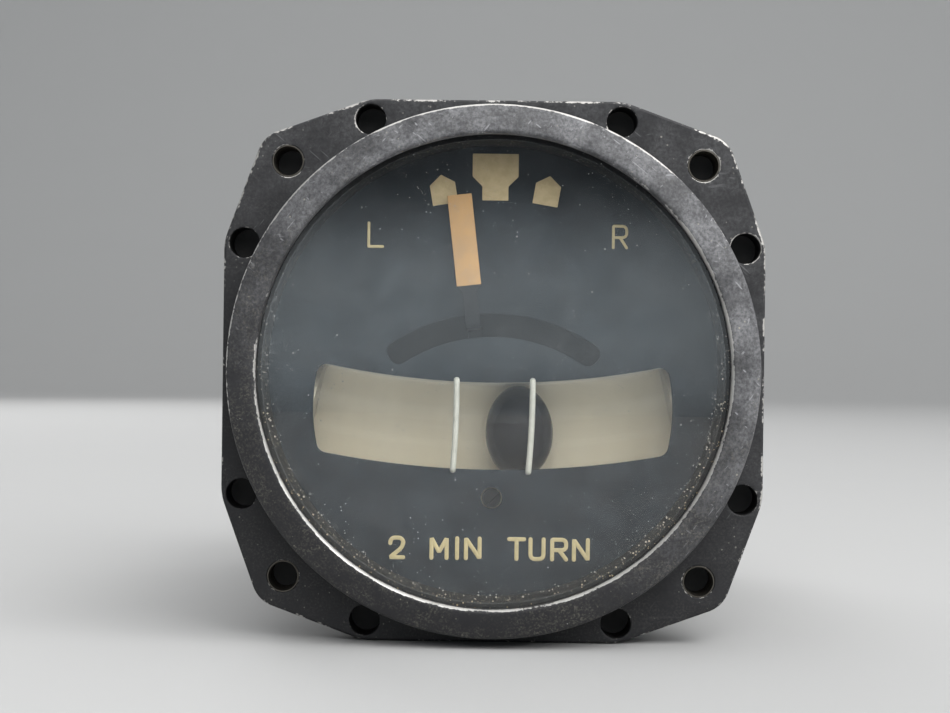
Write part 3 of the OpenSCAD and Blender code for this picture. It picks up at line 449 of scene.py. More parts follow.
def inner_points(rings: Sequence[Array], spacing: float) -> tuple[Array, Array]:
    """Lays a staggered grid of points between rings.

    Args:
        rings: The outer ring first, then the holes.
        spacing: Space between the points. 0 lays none.

    Returns:
        The points, and the distance of each from the nearest ring point.
    """
    if not spacing:
        return np.empty((0, 2)), np.empty(0)
    low, high = rings[0].min(axis=0), rings[0].max(axis=0)
    x, z = np.meshgrid(np.arange(low[0], high[0], spacing), np.arange(low[1], high[1], spacing * ROW_STEP))
    x[1::2] += spacing / 2.0
    grid = np.stack([x.ravel(), z.ravel()], axis=1)
    grid = grid[between(grid, rings)]
    edge = np.concatenate(rings)
    away = np.min(np.linalg.norm(grid[:, None] - edge[None], axis=2), axis=1)
    clear = away > GRID_CLEARANCE * spacing
    return grid[clear], away[clear]


def carried(loop: Array, insets: Array, depths: Array, pole: bool = False) -> Array:
    """Carries a loop along a profile.

    Args:
        loop: Points as X and Z.
        insets: How far each ring lies to the left of the loop.
        depths: Depth of each ring.
        pole: Whether the last ring shrinks to the middle of the loop.

    Returns:
        Rings by points by 3.
    """
    flat = loop[None] + insets[:, None, None] * inset_direction(loop)[None]
    if pole:
        flat[-1] = loop.mean(axis=0)
    depth = np.broadcast_to(depths[:, None], flat.shape[:2])
    return np.stack([flat[..., 0], depth, flat[..., 1]], axis=-1)


def capped(rings: Sequence[Array], numbers: Sequence[Array], depth: float, start: int, spacing: float,
           reach: float, facing: float) -> Surface:
    """Fills a flat face between rings that another surface already has.

    Args:
        rings: Rings of the face, the outer one first.
        numbers: Numbers of the rings' points in the other surface.
        depth: Depth of the face.
        start: Number that the face's own first point takes.
        spacing: Space between the face's own points.
        reach: How far wear reaches across the face.
        facing: Sign of the Y direction that the face looks in.

    Returns:
        The face's own points, its triangles and their wear.
    """
    inner, away = inner_points(rings, spacing)
    triangles = filled(rings, inner)
    flat = np.concatenate([*rings, inner])[triangles]
    ahead, beyond = flat[:, 1] - flat[:, 0], flat[:, 2] - flat[:, 0]
    turn = beyond[:, :1] * ahead[:, 1:] - beyond[:, 1:] * ahead[:, :1]
    named = np.concatenate([*numbers, start + np.arange(len(inner))])[triangles]
    points = np.stack([inner[:, 0], np.full(len(inner), depth), inner[:, 1]], axis=1)
    return Surface(points, [np.where(turn * facing > 0.0, named, named[:, ::-1])],
                   {"edge": FACE_WEAR * np.exp(-(away / reach) ** 2)})


def plate(outline: Array, holes: Sequence[Array], front: float, back: float, edge: float,
          hole_edge: float | None = None, spacing: float = 0.0, reach: float = 0.7, steps: int = 3,
          blind: Sequence[Array] = (), floor: float = 0.0) -> Surface:
    """A flat piece with rounded edges, drawn as seen from the front, X right and Z up.

    Every outline is carried along a profile: inwards by edge (1 - sin t) at depth front + edge (1 - cos t)
    for a quarter turn of t, then the same at the back. The rest of both faces is filled. Wear is greatest
    on the rounded edges and falls off across the faces as exp(-(distance / reach)^2).

    Args:
        outline: Outer outline, anticlockwise.
        holes: Outlines of holes that go through, anticlockwise.
        front: Depth of the front face.
        back: Depth of the back face.
        edge: Radius of the rounded outer edges.
        hole_edge: Radius of the rounded edges of the holes, where it differs.
        spacing: Space between the points that carry the wear across the faces.
        reach: How far the wear reaches across the faces.
        steps: Steps in each rounded edge.
        blind: Outlines of holes that end inside, anticlockwise.
        floor: Depth at which they end.

    Returns:
        The plate, with its wear in the point value "edge", which is below 0 inside the blind holes, where it
        marks their painted shade.
    """
    t = np.linspace(0.0, math.pi / 2.0, steps + 1)
    inset, rise, wear = 1 - np.sin(t), 1 - np.cos(t), FACE_WEAR + (1 - FACE_WEAR) * np.sin(2 * t)
    small = edge if hole_edge is None else hole_edge
    # A thick plate's walls have a ring behind each rounded edge, where its wear has faded
    deep = np.full(int(back - front > 2.0 * (edge + 1.0)), edge + WALL_RING)
    level = np.zeros(len(deep))
    walls, rings, points, values, start = [], [], [], [], 0
    through = [(outline, edge, False)] + [(hole[::-1], small, False) for hole in holes]
    for loop, size, ends in through + [(hole[::-1], small, True) for hole in blind]:
        near_edge = front + size * rise
        if ends:
            depths = np.concatenate([near_edge, [front + size + HOLE_RING, floor, floor + DRILL_POINT]])
            insets = np.concatenate([size * inset, np.zeros(3)])
            # Values below 0 mark the blind hole's painted shade
            worn = np.concatenate([wear, [-0.5, -1.0, -1.0]])
        else:
            depths = np.concatenate([near_edge, front + deep, back - deep, back - size * rise[::-1]])
            insets = np.concatenate([size * inset, level, level, size * inset[::-1]])
            worn = np.concatenate([wear, level, level, wear[::-1]])
        grid = carried(loop, insets, depths, ends)
        index = np.arange(grid.shape[0] * len(loop)).reshape(-1, len(loop)) + start
        ahead = np.roll(index, -1, axis=1)
        walls.append(np.stack([index[:-1], index[1:], ahead[1:], ahead[:-1]], axis=-1).reshape(-1, 4))
        rings.append((grid[0][:, [0, 2]], index[0], grid[-1][:, [0, 2]], index[-1]))
        points.append(grid.reshape(-1, 3))
        values.append(np.repeat(worn, len(loop)))
        start += index.size
    near = capped([r[0] for r in rings], [r[1] for r in rings], front, start, spacing, reach, -1.0)
    last = rings[:len(through)]
    far = capped([r[2] for r in last], [r[3] for r in last], back, start + len(near.points), spacing,
                 reach, 1.0)
    wears = np.concatenate([*values, near.values["edge"], far.values["edge"]])
    return Surface(np.concatenate([*points, near.points, far.points]), [*walls, *near.faces, *far.faces],
                   {"edge": wears}).outward()


def strap(path: Array, across: Array, width: Array, thickness: float, corner: float,
          values: dict[str, Array]) -> Surface:
    """Carries a rounded rectangle along a path whose width direction never turns.

    A section point is the corner radius times (cos t, sin t), moved out to the nearest corner of a
    rectangle that is smaller by that radius all round.

    Args:
        path: Points of the middle line.
        across: Direction of the width.
        width: Width at each point.
        thickness: Thickness, square to the path and to the width.
        corner: Radius of the section's corners.
        values: Point values, one a path point.

    Returns:
        The strap, closed at both ends.
    """
    along = directions(path)
    normal = np.cross(along, across)
    sides = 16
    turn = (np.arange(sides) + 0.5) * TAU / sides
    half = width[:, None] / 2.0
    u = corner * np.cos(turn) + np.sign(np.cos(turn)) * (half - corner)
    v = corner * np.sin(turn) + np.sign(np.sin(turn)) * (thickness / 2.0 - corner)
    points = path[:, None] + u[..., None] * across + v[..., None] * normal[:, None]
    ends = [np.broadcast_to(path[k], (1, sides, 3)) for k in (0, -1)]
    grid = np.concatenate([ends[0], points, ends[1]])
    rows = {name: with_ends(value, 1)[:, None] for name, value in values.items()}
    return ring_grid(grid, False, rows)


def tube(path: Array, radius: float, sides: int) -> Surface:
    """Carries a circle along a path, with round ends.

    The section's frame is carried from station to station without twist. At each end more stations
    follow a quarter circle, so the tube closes in a dome.

    Args:
        path: Points of the middle line.
        radius: Radius of the tube.
        sides: Points in the section.

    Returns:
        The closed tube.
    """
    along = directions(path)
    normals = np.empty_like(path)
    normal = np.cross(along[0], ASIDE)
    for station, direction in enumerate(along):
        normal = normal - direction * float(normal @ direction)
        normal = normal / np.linalg.norm(normal)
        normals[station] = normal
    extra = 4
    centre, size = domed(path, along, radius, extra)
    frames, tangents = with_ends(normals, extra), with_ends(along, extra)
    turn = np.linspace(0.0, TAU, sides, endpoint=False)[:, None]
    ring = np.cos(turn) * frames[:, None] + np.sin(turn) * np.cross(tangents, frames)[:, None]
    return ring_grid(centre[:, None] + radius * size[:, None, None] * ring, False)


def stroke(path: Array, width: float, front: float, back: float) -> Surface:
    """A painted stroke on the dial: a low round-topped ridge along a path, with round ends.

    Across the path the ridge is an arc of a half ellipse: u = width / 2 cos t at depth
    back - (back - front) sin t. At the ends it shrinks along a quarter circle.

    Args:
        path: Points as X and Z.
        width: Width of the stroke.
        front: Depth of its crest.
        back: Depth of its foot.

    Returns:
        The closed ridge.
    """
    along = directions(path)
    extra = 6
    centre, size = domed(path, along, width / 2.0, extra)
    lead = with_ends(along, extra)
    turn = np.linspace(0.0, math.pi, 9)
    u = np.concatenate([width / 2.0 * np.cos(turn), [0.0]])
    v = np.concatenate([back - (back - front) * np.sin(turn), [back]])
    side = np.stack([lead[:, 1], -lead[:, 0]], axis=1)
    flat = centre[:, None] + size[:, None, None] * u[None, :, None] * side[:, None]
    depth = back + (v - back)[None] * np.sqrt(np.clip(size, 0.0, 1.0))[:, None]
    return ring_grid(np.stack([flat[..., 0], depth, flat[..., 1]], axis=-1), False)


# Finishes


def opaque(value: object) -> object:
    """A colour with its alpha, and any other value as it is."""
    return (*value, 1.0) if isinstance(value, tuple) and len(value) == 3 else value


class Tree:
    """Adds nodes to a tree, with plain calls for what the finishes and the sky share."""

    def __init__(self, tree: bpy.types.NodeTree) -> None:
        """Empties a tree."""
        self.tree = tree
        self.tree.nodes.clear()

    def add(self, kind: str, inputs: dict[str | int, object] | None = None,
            **settings: object) -> bpy.types.Node:
        """Adds a node.

        Args:
            kind: The node's type name.
            inputs: Values or sockets for its inputs, by name or number.
            settings: Properties of the node.

        Returns:
            The new node.
        """
        node = self.tree.nodes.new(kind)
        for name, value in settings.items():
            setattr(node, name, value)
        for key, value in (inputs or {}).items():
            if isinstance(value, Socket):
                self.tree.links.new(value, node.inputs[key])
            else:
                node.inputs[key].default_value = value
        return node

    def maths(self, operation: str, a: object, b: object) -> Socket:
        """One sum, product or the like of two numbers."""
        return self.add("ShaderNodeMath", {0: a, 1: b}, operation=operation).outputs[0]

    def times(self, a: object, b: object) -> Socket:
        """The product of two numbers."""
        return self.maths("MULTIPLY", a, b)

    def plus(self, a: object, b: object) -> Socket:
        """The sum of two numbers."""
        return self.maths("ADD", a, b)

    def minus(self, a: object, b: object) -> Socket:
        """The first number less the second."""
        return self.maths("SUBTRACT", a, b)

    def larger(self, a: object, b: object) -> Socket:
        """The larger of two numbers."""
        return self.maths("MAXIMUM", a, b)

    def ramp(self, value: object, low: float, high: float, out_low: float = 0.0,
             out_high: float = 1.0) -> Socket:
        """A smooth step from out_low at low to out_high at high."""
        inputs = {"Value": value, "From Min": low, "From Max": high, "To Min": out_low, "To Max": out_high}
        return self.add("ShaderNodeMapRange", inputs, interpolation_type="SMOOTHSTEP").outputs["Result"]

    def mix(self, share: object, first: object, second: object) -> Socket:
        """A colour that goes from first to second with share."""
        inputs = {0: share, 6: opaque(first), 7: opaque(second)}
        return self.add("ShaderNodeMix", inputs, data_type="RGBA").outputs[2]


class Nodes(Tree):
    """Builds a material's nodes, with plain calls for the patterns that the finishes share."""

    def __init__(self, name: str) -> None:
        """Starts an empty material.

        Args:
            name: The material's name.
        """
        self.material = bpy.data.materials.new(name)
        self.material.use_nodes = True
        super().__init__(self.material.node_tree)
        self.place = self.add("ShaderNodeTexCoord").outputs["Object"]

    def stretched(self, x: float, y: float, z: float) -> Socket:
        """Object coordinates times x, y and z."""
        return self.add("ShaderNodeMapping", {"Vector": self.place, "Scale": (x, y, z)}).outputs[0]

    def noise(self, size: float, detail: float = 4.0, rough: float = 0.6,
              place: Socket | None = None, bend: float = 0.0) -> Socket:
        """Noise whose patches are about size millimetres wide.

        Args:
            size: Width of the patches.
            detail: Number of finer layers.
            rough: Weight of the finer layers.
            place: Coordinates, where they aren't the object's own.
            bend: How far the pattern is distorted.

        Returns:
            The noise, from 0 to 1.
        """
        inputs = {"Vector": place or self.place, "Scale": 1.0 / (size * MM), "Detail": detail,
                  "Roughness": rough, "Distortion": bend}
        return self.add("ShaderNodeTexNoise", inputs).outputs["Fac"]

    def specks(self, size: float, share: float) -> Socket:
        """Round specks, one in each cell of size millimetres, that fill up to a share of the cell.

        Args:
            size: Width of a cell.
            share: Radius of the largest specks, in cells.

        Returns:
            1 in the specks and 0 between them.
        """
        cell = self.add("ShaderNodeTexVoronoi", {"Vector": self.place, "Scale": 1.0 / (size * MM)})
        grade = self.add("ShaderNodeSeparateXYZ", {0: cell.outputs["Color"]}).outputs["X"]
        reach = self.times(grade, share * 1.4)
        return self.ramp(self.minus(cell.outputs["Distance"], reach), 0.0, share * -0.4)

    def scratches(self, turn: float, length: float) -> Socket:
        """Thin streaks along one direction, where a noise stretched that way is highest.

        Args:
            turn: Angle of the streaks about the depth axis, in radians.
            length: How much longer than wide they are.

        Returns:
            1 in the streaks and 0 between them.
        """
        inputs = {"Vector": self.place, "Rotation": (0.0, turn, 0.0), "Scale": (length, 1.0, 1.0)}
        place = self.add("ShaderNodeMapping", inputs, vector_type="TEXTURE").outputs[0]
        return self.ramp(self.noise(0.4, 1.0, 0.4, place), 0.72, 0.78)

    def value(self, name: str) -> Socket:
        """A point value of the mesh."""
        return self.add("ShaderNodeAttribute", attribute_name=name).outputs["Fac"]

    def bump(self, height: Socket, depth: float, strength: float) -> Socket:
        """A bump of depth millimetres."""
        inputs = {"Height": height, "Distance": depth * MM, "Strength": strength}
        return self.add("ShaderNodeBump", inputs).outputs[0]

    def shader(self, **inputs: object) -> Socket:
        """The main shader. Underscores in the names of its inputs stand for spaces."""
        named = {key.replace("_", " "): opaque(value) for key, value in inputs.items()}
        return self.add("ShaderNodeBsdfPrincipled", named).outputs[0]

    def blend(self, share: Socket, first: Socket, second: Socket) -> Socket:
        """A shader that goes from first to second with share."""
        return self.add("ShaderNodeMixShader", {0: share, 1: first, 2: second}).outputs[0]

    def finish(self, shader: Socket) -> bpy.types.Material:
        """Joins the last shader to the output and returns the material."""
        self.add("ShaderNodeOutputMaterial", {"Surface": shader})
        return self.material


@dataclass(frozen=True)
class Enamel:
    """Baked enamel on metal: mottled, scuffed, and chipped to the metal along exposed edges; scuffs and chips
    grow towards the lit top right as painted light, and blind holes get painted shade.
    """

    name: str
    colour: Colour = (0.019, 0.019, 0.021)
    scuffed: Colour = (0.085, 0.085, 0.090)
    metal: Colour = (0.56, 0.54, 0.51)
    dust: Colour = (0.42, 0.40, 0.35)
    # Painted shade: near black deep inside the blind holes
    hole_shade: Colour = (0.003, 0.003, 0.003)
    roughness: float = 0.50
    shine: float = 0.3
    scuffs: float = 0.5
    chips: float = 0.5
    film: float = 0.07
    grain: float = 0.35
    grit: float = 0.7
    # Share by which scuffs and chips grow towards the lit top right and fade away from it: painted light on
    # top of the wear
    lean: float = 0.0

    def scuffing(self, n: Nodes, way: Socket, cloud: Socket, fine: Socket) -> Socket:
        """Patches broken up by fine grain, with smears and thin scratches; there are more of them towards the
        lit top right, as painted light.

        Args:
            n: The material's nodes.
            way: How far a point lies towards the lit top right.
            cloud: Noise of the patches.
            fine: Noise of the grain.

        Returns:
            The share of scuffed paint.
        """
        # Painted light: the lighter scuffed paint grows towards the lit top right and fades to the bottom
        # left
        least, most = self.scuffs * (1 - self.lean), self.scuffs * (1 + self.lean)
        share = n.ramp(way, -LIGHT_AND_DUST_REACH, LIGHT_AND_DUST_REACH, least, most)
        patch = n.times(n.ramp(cloud, 0.34, 0.64, 0.35, 1.0), n.ramp(fine, 0.26, 0.78, 0.16, 0.72))
        smear = n.ramp(n.noise(1.6, 3.0, 0.5, n.stretched(0.25, 1.0, 1.0), 1.5), 0.66, 0.74, 0.0, 0.5)
        thin = n.larger(n.scratches(0.7, 14.0), n.scratches(-0.9, 9.0))
        scratch = n.larger(smear, n.times(thin, 0.7))
        return n.times(n.plus(patch, scratch), share)

    def chipping(self, n: Nodes, way: Socket, cloud: Socket, fine: Socket) -> Socket:
        """Bare metal where the point value "edge" and ragged noise meet, and in small spots, with more of it
        towards the lit top right as a painted highlight.

        Args:
            n: The material's nodes.
            way: How far a point lies towards the lit top right.
            cloud: Noise that makes the wear uneven.
            fine: Noise that makes its border ragged.

        Returns:
            The share of bare metal.
        """
        worn = n.times(n.value("edge"), n.ramp(cloud, 0.35, 0.65, 0.55, 1.15))
        # Painted highlight: more bare metal towards the lit top right
        leaning = n.ramp(way, -LIGHT_AND_DUST_REACH, LIGHT_AND_DUST_REACH, 1 - 0.25 * self.lean, 1 + 0.1 * self.lean)
        ragged = n.plus(n.times(worn, leaning), n.ramp(fine, 0.25, 0.75, -0.3, 0.3))
        bare = n.ramp(ragged, 1.15 - 0.6 * self.chips, 1.30 - 0.6 * self.chips)
        return n.larger(bare, n.ramp(n.noise(1.3, 4.0, 0.75), 0.71, 0.75, 0.0, 0.7))

    def dusting(self, n: Nodes, way: Socket, cloud: Socket) -> Socket:
        """Specks in patches, and a grainy film that is thickest low on the left.

        Args:
            n: The material's nodes.
            way: How far a point lies towards the lit top right.
            cloud: Noise of the patches.

        Returns:
            The share of dust.
        """
        specks = n.times(n.specks(1.0, 0.13), n.ramp(cloud, 0.42, 0.66, 0.0, 0.6))
        grain = n.ramp(n.noise(0.35, 3.0, 0.7), 0.46, 0.68)
        grainy = n.times(n.ramp(n.noise(5.0, 5.0, 0.65), 0.34, 0.66), grain)
        share = n.ramp(way, LIGHT_AND_DUST_REACH, -LIGHT_AND_DUST_REACH, 0.3 * self.film, self.film)
        return n.larger(specks, n.times(grainy, share))

    def make(self) -> bpy.types.Material:
        """Builds the material: scuffed paint, then dust, then chips, and painted shade, near black, inside
        the blind holes.

        Returns:
            The material.
        """
        n = Nodes(self.name)
        inputs = {0: n.place, 1: LIGHT_AND_DUST_WAY}
        way = n.add("ShaderNodeVectorMath", inputs, operation="DOT_PRODUCT").outputs["Value"]
        cloud = n.noise(6.0, 6.0, 0.65)
        fine = n.noise(self.grit, 5.0, 0.7)
        chip = self.chipping(n, way, cloud, fine)
        paint = n.mix(self.scuffing(n, way, cloud, fine), self.colour, self.scuffed)
        dusty = n.mix(self.dusting(n, way, cloud), paint, self.dust)
        # Painted shade: the blind holes turn near black inside
        deep = n.ramp(n.value("edge"), -0.1, -0.9)
        colour = n.mix(deep, n.mix(chip, dusty, self.metal), self.hole_shade)
        rough = n.plus(n.times(fine, 0.25), self.roughness - 0.1)
        height = n.minus(n.times(n.noise(0.35, 3.0, 0.6), 0.6), chip)
        return n.finish(n.shader(Base_Color=colour, Roughness=rough, Specular_IOR_Level=self.shine,
                                 Metallic=n.times(chip, 0.65),
                                 Normal=n.bump(height, 0.03, self.grain)))


@dataclass(frozen=True)
class Metal:
    """Bare metal with tool lines along one axis, tarnish in patches and small nicks."""

    name: str
    colour: Colour
    tarnish: Colour
    roughness: float
    lines: Triple = (0.2, 4.0, 0.2)
    dull: float = 0.5

    def make(self) -> bpy.types.Material:
        """Builds the material: stretched noise for the tool lines and soft noise for the tarnish.

        Returns:
            The material.
        """
        n = Nodes(self.name)
        line = n.noise(0.6, 3.0, 0.6, n.stretched(*self.lines))
        patch = n.noise(4.0, 5.0, 0.6)
        stain = n.times(n.ramp(patch, 0.40, 0.75), self.dull)
        lined = n.mix(n.ramp(line, 0.3, 0.7, 0.0, 0.35), self.colour, self.tarnish)
        colour = n.mix(stain, lined, self.tarnish)
        rough = n.plus(n.times(patch, 0.3), self.roughness - 0.12)
        return n.finish(n.shader(Base_Color=colour, Metallic=1.0, Roughness=rough,
                                 Normal=n.bump(line, 0.01, 0.35)))


@dataclass(frozen=True)
class Matte:
    """Paint, card, rubber or lacquer: two close colours in patches, with fine grain and specks."""

    name: str
    colour: Colour
    second: Colour
    speck: Colour
    patch: float
    specks: float
    cell: float = 0.6
    roughness: float = 0.7
    grain: float = 0.3
    shine: float = 0.5

    def make(self) -> bpy.types.Material:
        """Builds the material: noise between the two colours, then specks over them.

        Returns:
            The material.
        """
        n = Nodes(self.name)
        cloud = n.noise(self.patch, 6.0, 0.65)
        fine = n.noise(0.25, 3.0, 0.6)
        base = n.mix(n.ramp(cloud, 0.3, 0.7), self.colour, self.second)
        dots = n.times(n.specks(self.cell, self.specks), n.ramp(n.noise(5.0), 0.35, 0.65))
        colour = n.mix(dots, base, self.speck)
        rough = n.plus(n.times(fine, 0.2), self.roughness - 0.1)
        return n.finish(n.shader(Base_Color=colour, Roughness=rough, Specular_IOR_Level=self.shine,
                                 Normal=n.bump(fine, 0.02, self.grain)))


@dataclass(frozen=True)
class Clear:
    """Clear glass or liquid that lets lamp light straight through to what lies behind it."""

    name: str
    tint: Colour
    gloss: float
    ior: float = 1.5
    veil: float = 0.0
    rim: float = 0.035
    gathered: float = 0.0035
    dirt: Colour = (0.50, 0.40, 0.25)

    def veiled(self, n: Nodes, glass: Socket) -> Socket:
        """Mixes dull dust into clean glass.

        The dust is a smeared film that thins towards the top, which darkens the glass there as painted shade,
        with specks, and with tan grains that have gathered near the rim, mostly low down.

        Args:
            n: The material's nodes.
            glass: The clean glass.

        Returns:
            The dusty glass.
        """
        smear = n.ramp(n.noise(6.0, 5.0, 0.65, bend=0.8), 0.3, 0.7, 0.1 * self.veil, 1.9 * self.veil)
        height = n.add("ShaderNodeSeparateXYZ", {0: n.place}).outputs["Z"]
        # Painted shade: the film thins towards the top, so the glass looks darker there
        film = n.times(smear, n.ramp(height, 0.034, 0.014, 0.25, 1.0))
        fine = n.times(n.specks(0.6, 0.10), n.ramp(n.noise(7.0), 0.36, 0.64, 0.0, 0.5))
        specks = n.larger(fine, n.times(n.specks(1.7, 0.05), 0.35))
        out = n.add("ShaderNodeVectorMath", {0: n.stretched(1.0, 0.0, 1.0)}, operation="LENGTH")
        near_rim = n.ramp(out.outputs["Value"], self.rim - self.gathered, self.rim)
        near_rim = n.times(near_rim, n.ramp(height, 0.020, -0.015, 0.10, 1.0))
        grains = n.times(n.specks(0.44, 0.28), n.ramp(n.noise(1.6, 4.0), 0.38, 0.56))
        grains = n.times(grains, near_rim)
        colour = n.mix(near_rim, self.tint, self.dirt)
        dull = n.shader(Base_Color=colour, Roughness=0.8, Specular_IOR_Level=0.2)
        return n.blend(n.larger(n.larger(film, specks), grains), glass, dull)

    def make(self) -> bpy.types.Material:
        """Builds the material: a transmitting shader with its dust, and a plain see-through one for shadows.

        Returns:
            The material.
        """
        n = Nodes(self.name)
        seen = n.shader(Base_Color=self.tint, Roughness=0.0, IOR=self.ior, Transmission_Weight=1.0,
                        Specular_Tint=(self.gloss, self.gloss, self.gloss))
        if self.veil:
            seen = self.veiled(n, seen)
        through = n.add("ShaderNodeBsdfTransparent", {"Color": opaque(self.tint)}).outputs[0]
        shadow = n.add("ShaderNodeLightPath").outputs["Is Shadow Ray"]
        return n.finish(n.blend(shadow, seen, through))


@dataclass(frozen=True)
class TwoPaint:
    """The turn hand's paint: luminous orange on the tip and black on the arm."""

    name: str
    tip: Colour = (0.56, 0.315, 0.125)
    faded: Colour = (0.48, 0.285, 0.13)
    speck: Colour = (0.20, 0.12, 0.05)
    arm: Colour = (0.006, 0.006, 0.007)

    def make(self) -> bpy.types.Material:
        """Builds the material: the point value "paint" chooses the paint, with patches of fading.

        Returns:
            The material.
        """
        n = Nodes(self.name)
        cloud = n.noise(2.2, 5.0, 0.6)
        fine = n.noise(0.2, 3.0, 0.6)
        tip = n.mix(n.ramp(cloud, 0.35, 0.7), self.tip, self.faded)
        tip = n.mix(n.times(n.specks(0.8, 0.07), 0.5), tip, self.speck)
        colour = n.mix(n.ramp(n.value("paint"), 0.4, 0.6), self.arm, tip)
        rough = n.plus(n.times(fine, 0.2), 0.5)
        return n.finish(n.shader(Base_Color=colour, Roughness=rough, Specular_IOR_Level=0.2,
                                 Normal=n.bump(fine, 0.02, 0.25)))


class Finish(Enum):
    """Every finish of the instrument."""

    CASE = Enamel(
        "satin_black_case", (0.012, 0.012, 0.0135), (0.16, 0.16, 0.165), (0.50, 0.485, 0.46),
        scuffs=0.35, lean=0.8)
    BEZEL = Enamel(
        "worn_black_bezel", (0.018, 0.018, 0.020), (0.26, 0.26, 0.27), (0.60, 0.585, 0.56),
        dust=(0.42, 0.39, 0.31), roughness=0.46, scuffs=0.74, chips=0.62, film=0.21, grain=0.8, grit=0.5,
        lean=0.94)
    COVER = Enamel("satin_black_cover", scuffs=0.35, chips=0.35)
    INSERT = Metal("dull_plated_steel", (0.16, 0.15, 0.13), (0.06, 0.052, 0.045), 0.45)
    GLASS = Clear("cover_glass_clear", (0.965, 0.99, 1.0), gloss=0.8, veil=0.006)
    LIQUID = Clear("liquid_filled_tube", (0.985, 0.975, 0.945), ior=1.38, gloss=0.3)
    RUBBER = Matte(
        "black_seal_rubber", (0.012, 0.012, 0.012), (0.03, 0.029, 0.027), (0.30, 0.28, 0.25),
        roughness=0.75, patch=1.5, specks=0.16, cell=0.5)
    DIAL = Matte(
        "matte_black_dial", (0.007, 0.010, 0.0125), (0.017, 0.023, 0.028), (0.34, 0.33, 0.31),
        roughness=0.62, patch=7.0, specks=0.08, cell=1.7, grain=0.03, shine=0.15)
    INSIDE = Matte(
        "dull_black_inside", (0.008, 0.008, 0.009), (0.014, 0.014, 0.015), (0.12, 0.11, 0.10),
        roughness=0.75, patch=3.0, specks=0.08, cell=0.8, shine=0.2)
    RING = Matte(
        "dusty_black_ring", (0.005, 0.005, 0.005), (0.016, 0.015, 0.013), (0.42, 0.36, 0.25),
        patch=0.9, specks=0.24, shine=0.2)
    MARK = Matte(
        "aged_cream_marks", (0.61, 0.46, 0.25), (0.52, 0.385, 0.20), (0.09, 0.07, 0.05),
        patch=1.2, specks=0.09, cell=0.5)
    LEGEND = Matte(
        "cream_legend_paint", (0.57, 0.45, 0.225), (0.48, 0.375, 0.185), (0.14, 0.11, 0.07),
        roughness=0.65, patch=1.0, specks=0.07, cell=0.4)
    WIRE = Matte(
        "white_wire_paint", (0.59, 0.56, 0.48), (0.49, 0.465, 0.39), (0.35, 0.32, 0.26),
        roughness=0.45, patch=1.0, specks=0.07, cell=0.5)
    CARD = Matte(
        "cream_backing_card", (0.92, 0.81, 0.63), (0.85, 0.74, 0.56), (0.45, 0.40, 0.30),
        patch=9.0, specks=0.04, cell=0.9)
    LACQUER = Matte(
        "cream_holder_lacquer", (0.80, 0.72, 0.58), (0.72, 0.64, 0.51), (0.35, 0.30, 0.22),
        roughness=0.55, patch=3.0, specks=0.05, cell=0.8)
    STOPPER = Matte(
        "pale_stopper", (0.76, 0.68, 0.54), (0.66, 0.58, 0.45), (0.30, 0.25, 0.18),
        roughness=0.6, patch=1.0, specks=0.1, cell=0.5)
    FIBRE = Matte(
        "dark_gasket_fibre", (0.075, 0.055, 0.038), (0.045, 0.034, 0.026), (0.15, 0.12, 0.09),
        roughness=0.85, patch=0.8, specks=0.12, cell=0.4)
    BALL = Matte(
        "polished_black_ball", (0.004, 0.004, 0.006), (0.007, 0.007, 0.009), (0.01, 0.01, 0.012),
        roughness=0.14, patch=3.0, specks=0.02, cell=0.8, grain=0.0, shine=0.12)
    ALLOY = Metal("machined_alloy", (0.66, 0.67, 0.69), (0.40, 0.41, 0.42), 0.38, (2.0, 0.3, 2.0))
    STEEL = Metal("plain_steel", (0.56, 0.56, 0.57), (0.30, 0.29, 0.28), 0.30)
    DARK_SCREW = Metal("blackened_screw", (0.026, 0.026, 0.025), (0.008, 0.008, 0.008), 0.45)
    REAR_SCREW = Metal("dulled_plated_screw", (0.42, 0.41, 0.38), (0.19, 0.175, 0.15), 0.4)
    BRASS = Metal("turned_brass", (0.66, 0.47, 0.20), (0.30, 0.20, 0.09), 0.32)
    GAUZE = Metal("wire_gauze", (0.36, 0.29, 0.17), (0.12, 0.10, 0.07), 0.5, (6.0, 1.0, 6.0))
    HAND = TwoPaint("orange_and_black_hand")


@dataclass(frozen=True)
class Bend:
    """Where a piece joins two bodies: the second body and two points on the piece.

    Attributes:
        other: The second body.
        start: Point where the piece's part on its own body ends, in millimetres.
        end: Point where its part on the other body starts, in millimetres.
    """

    other: Body
    start: Array
    end: Array


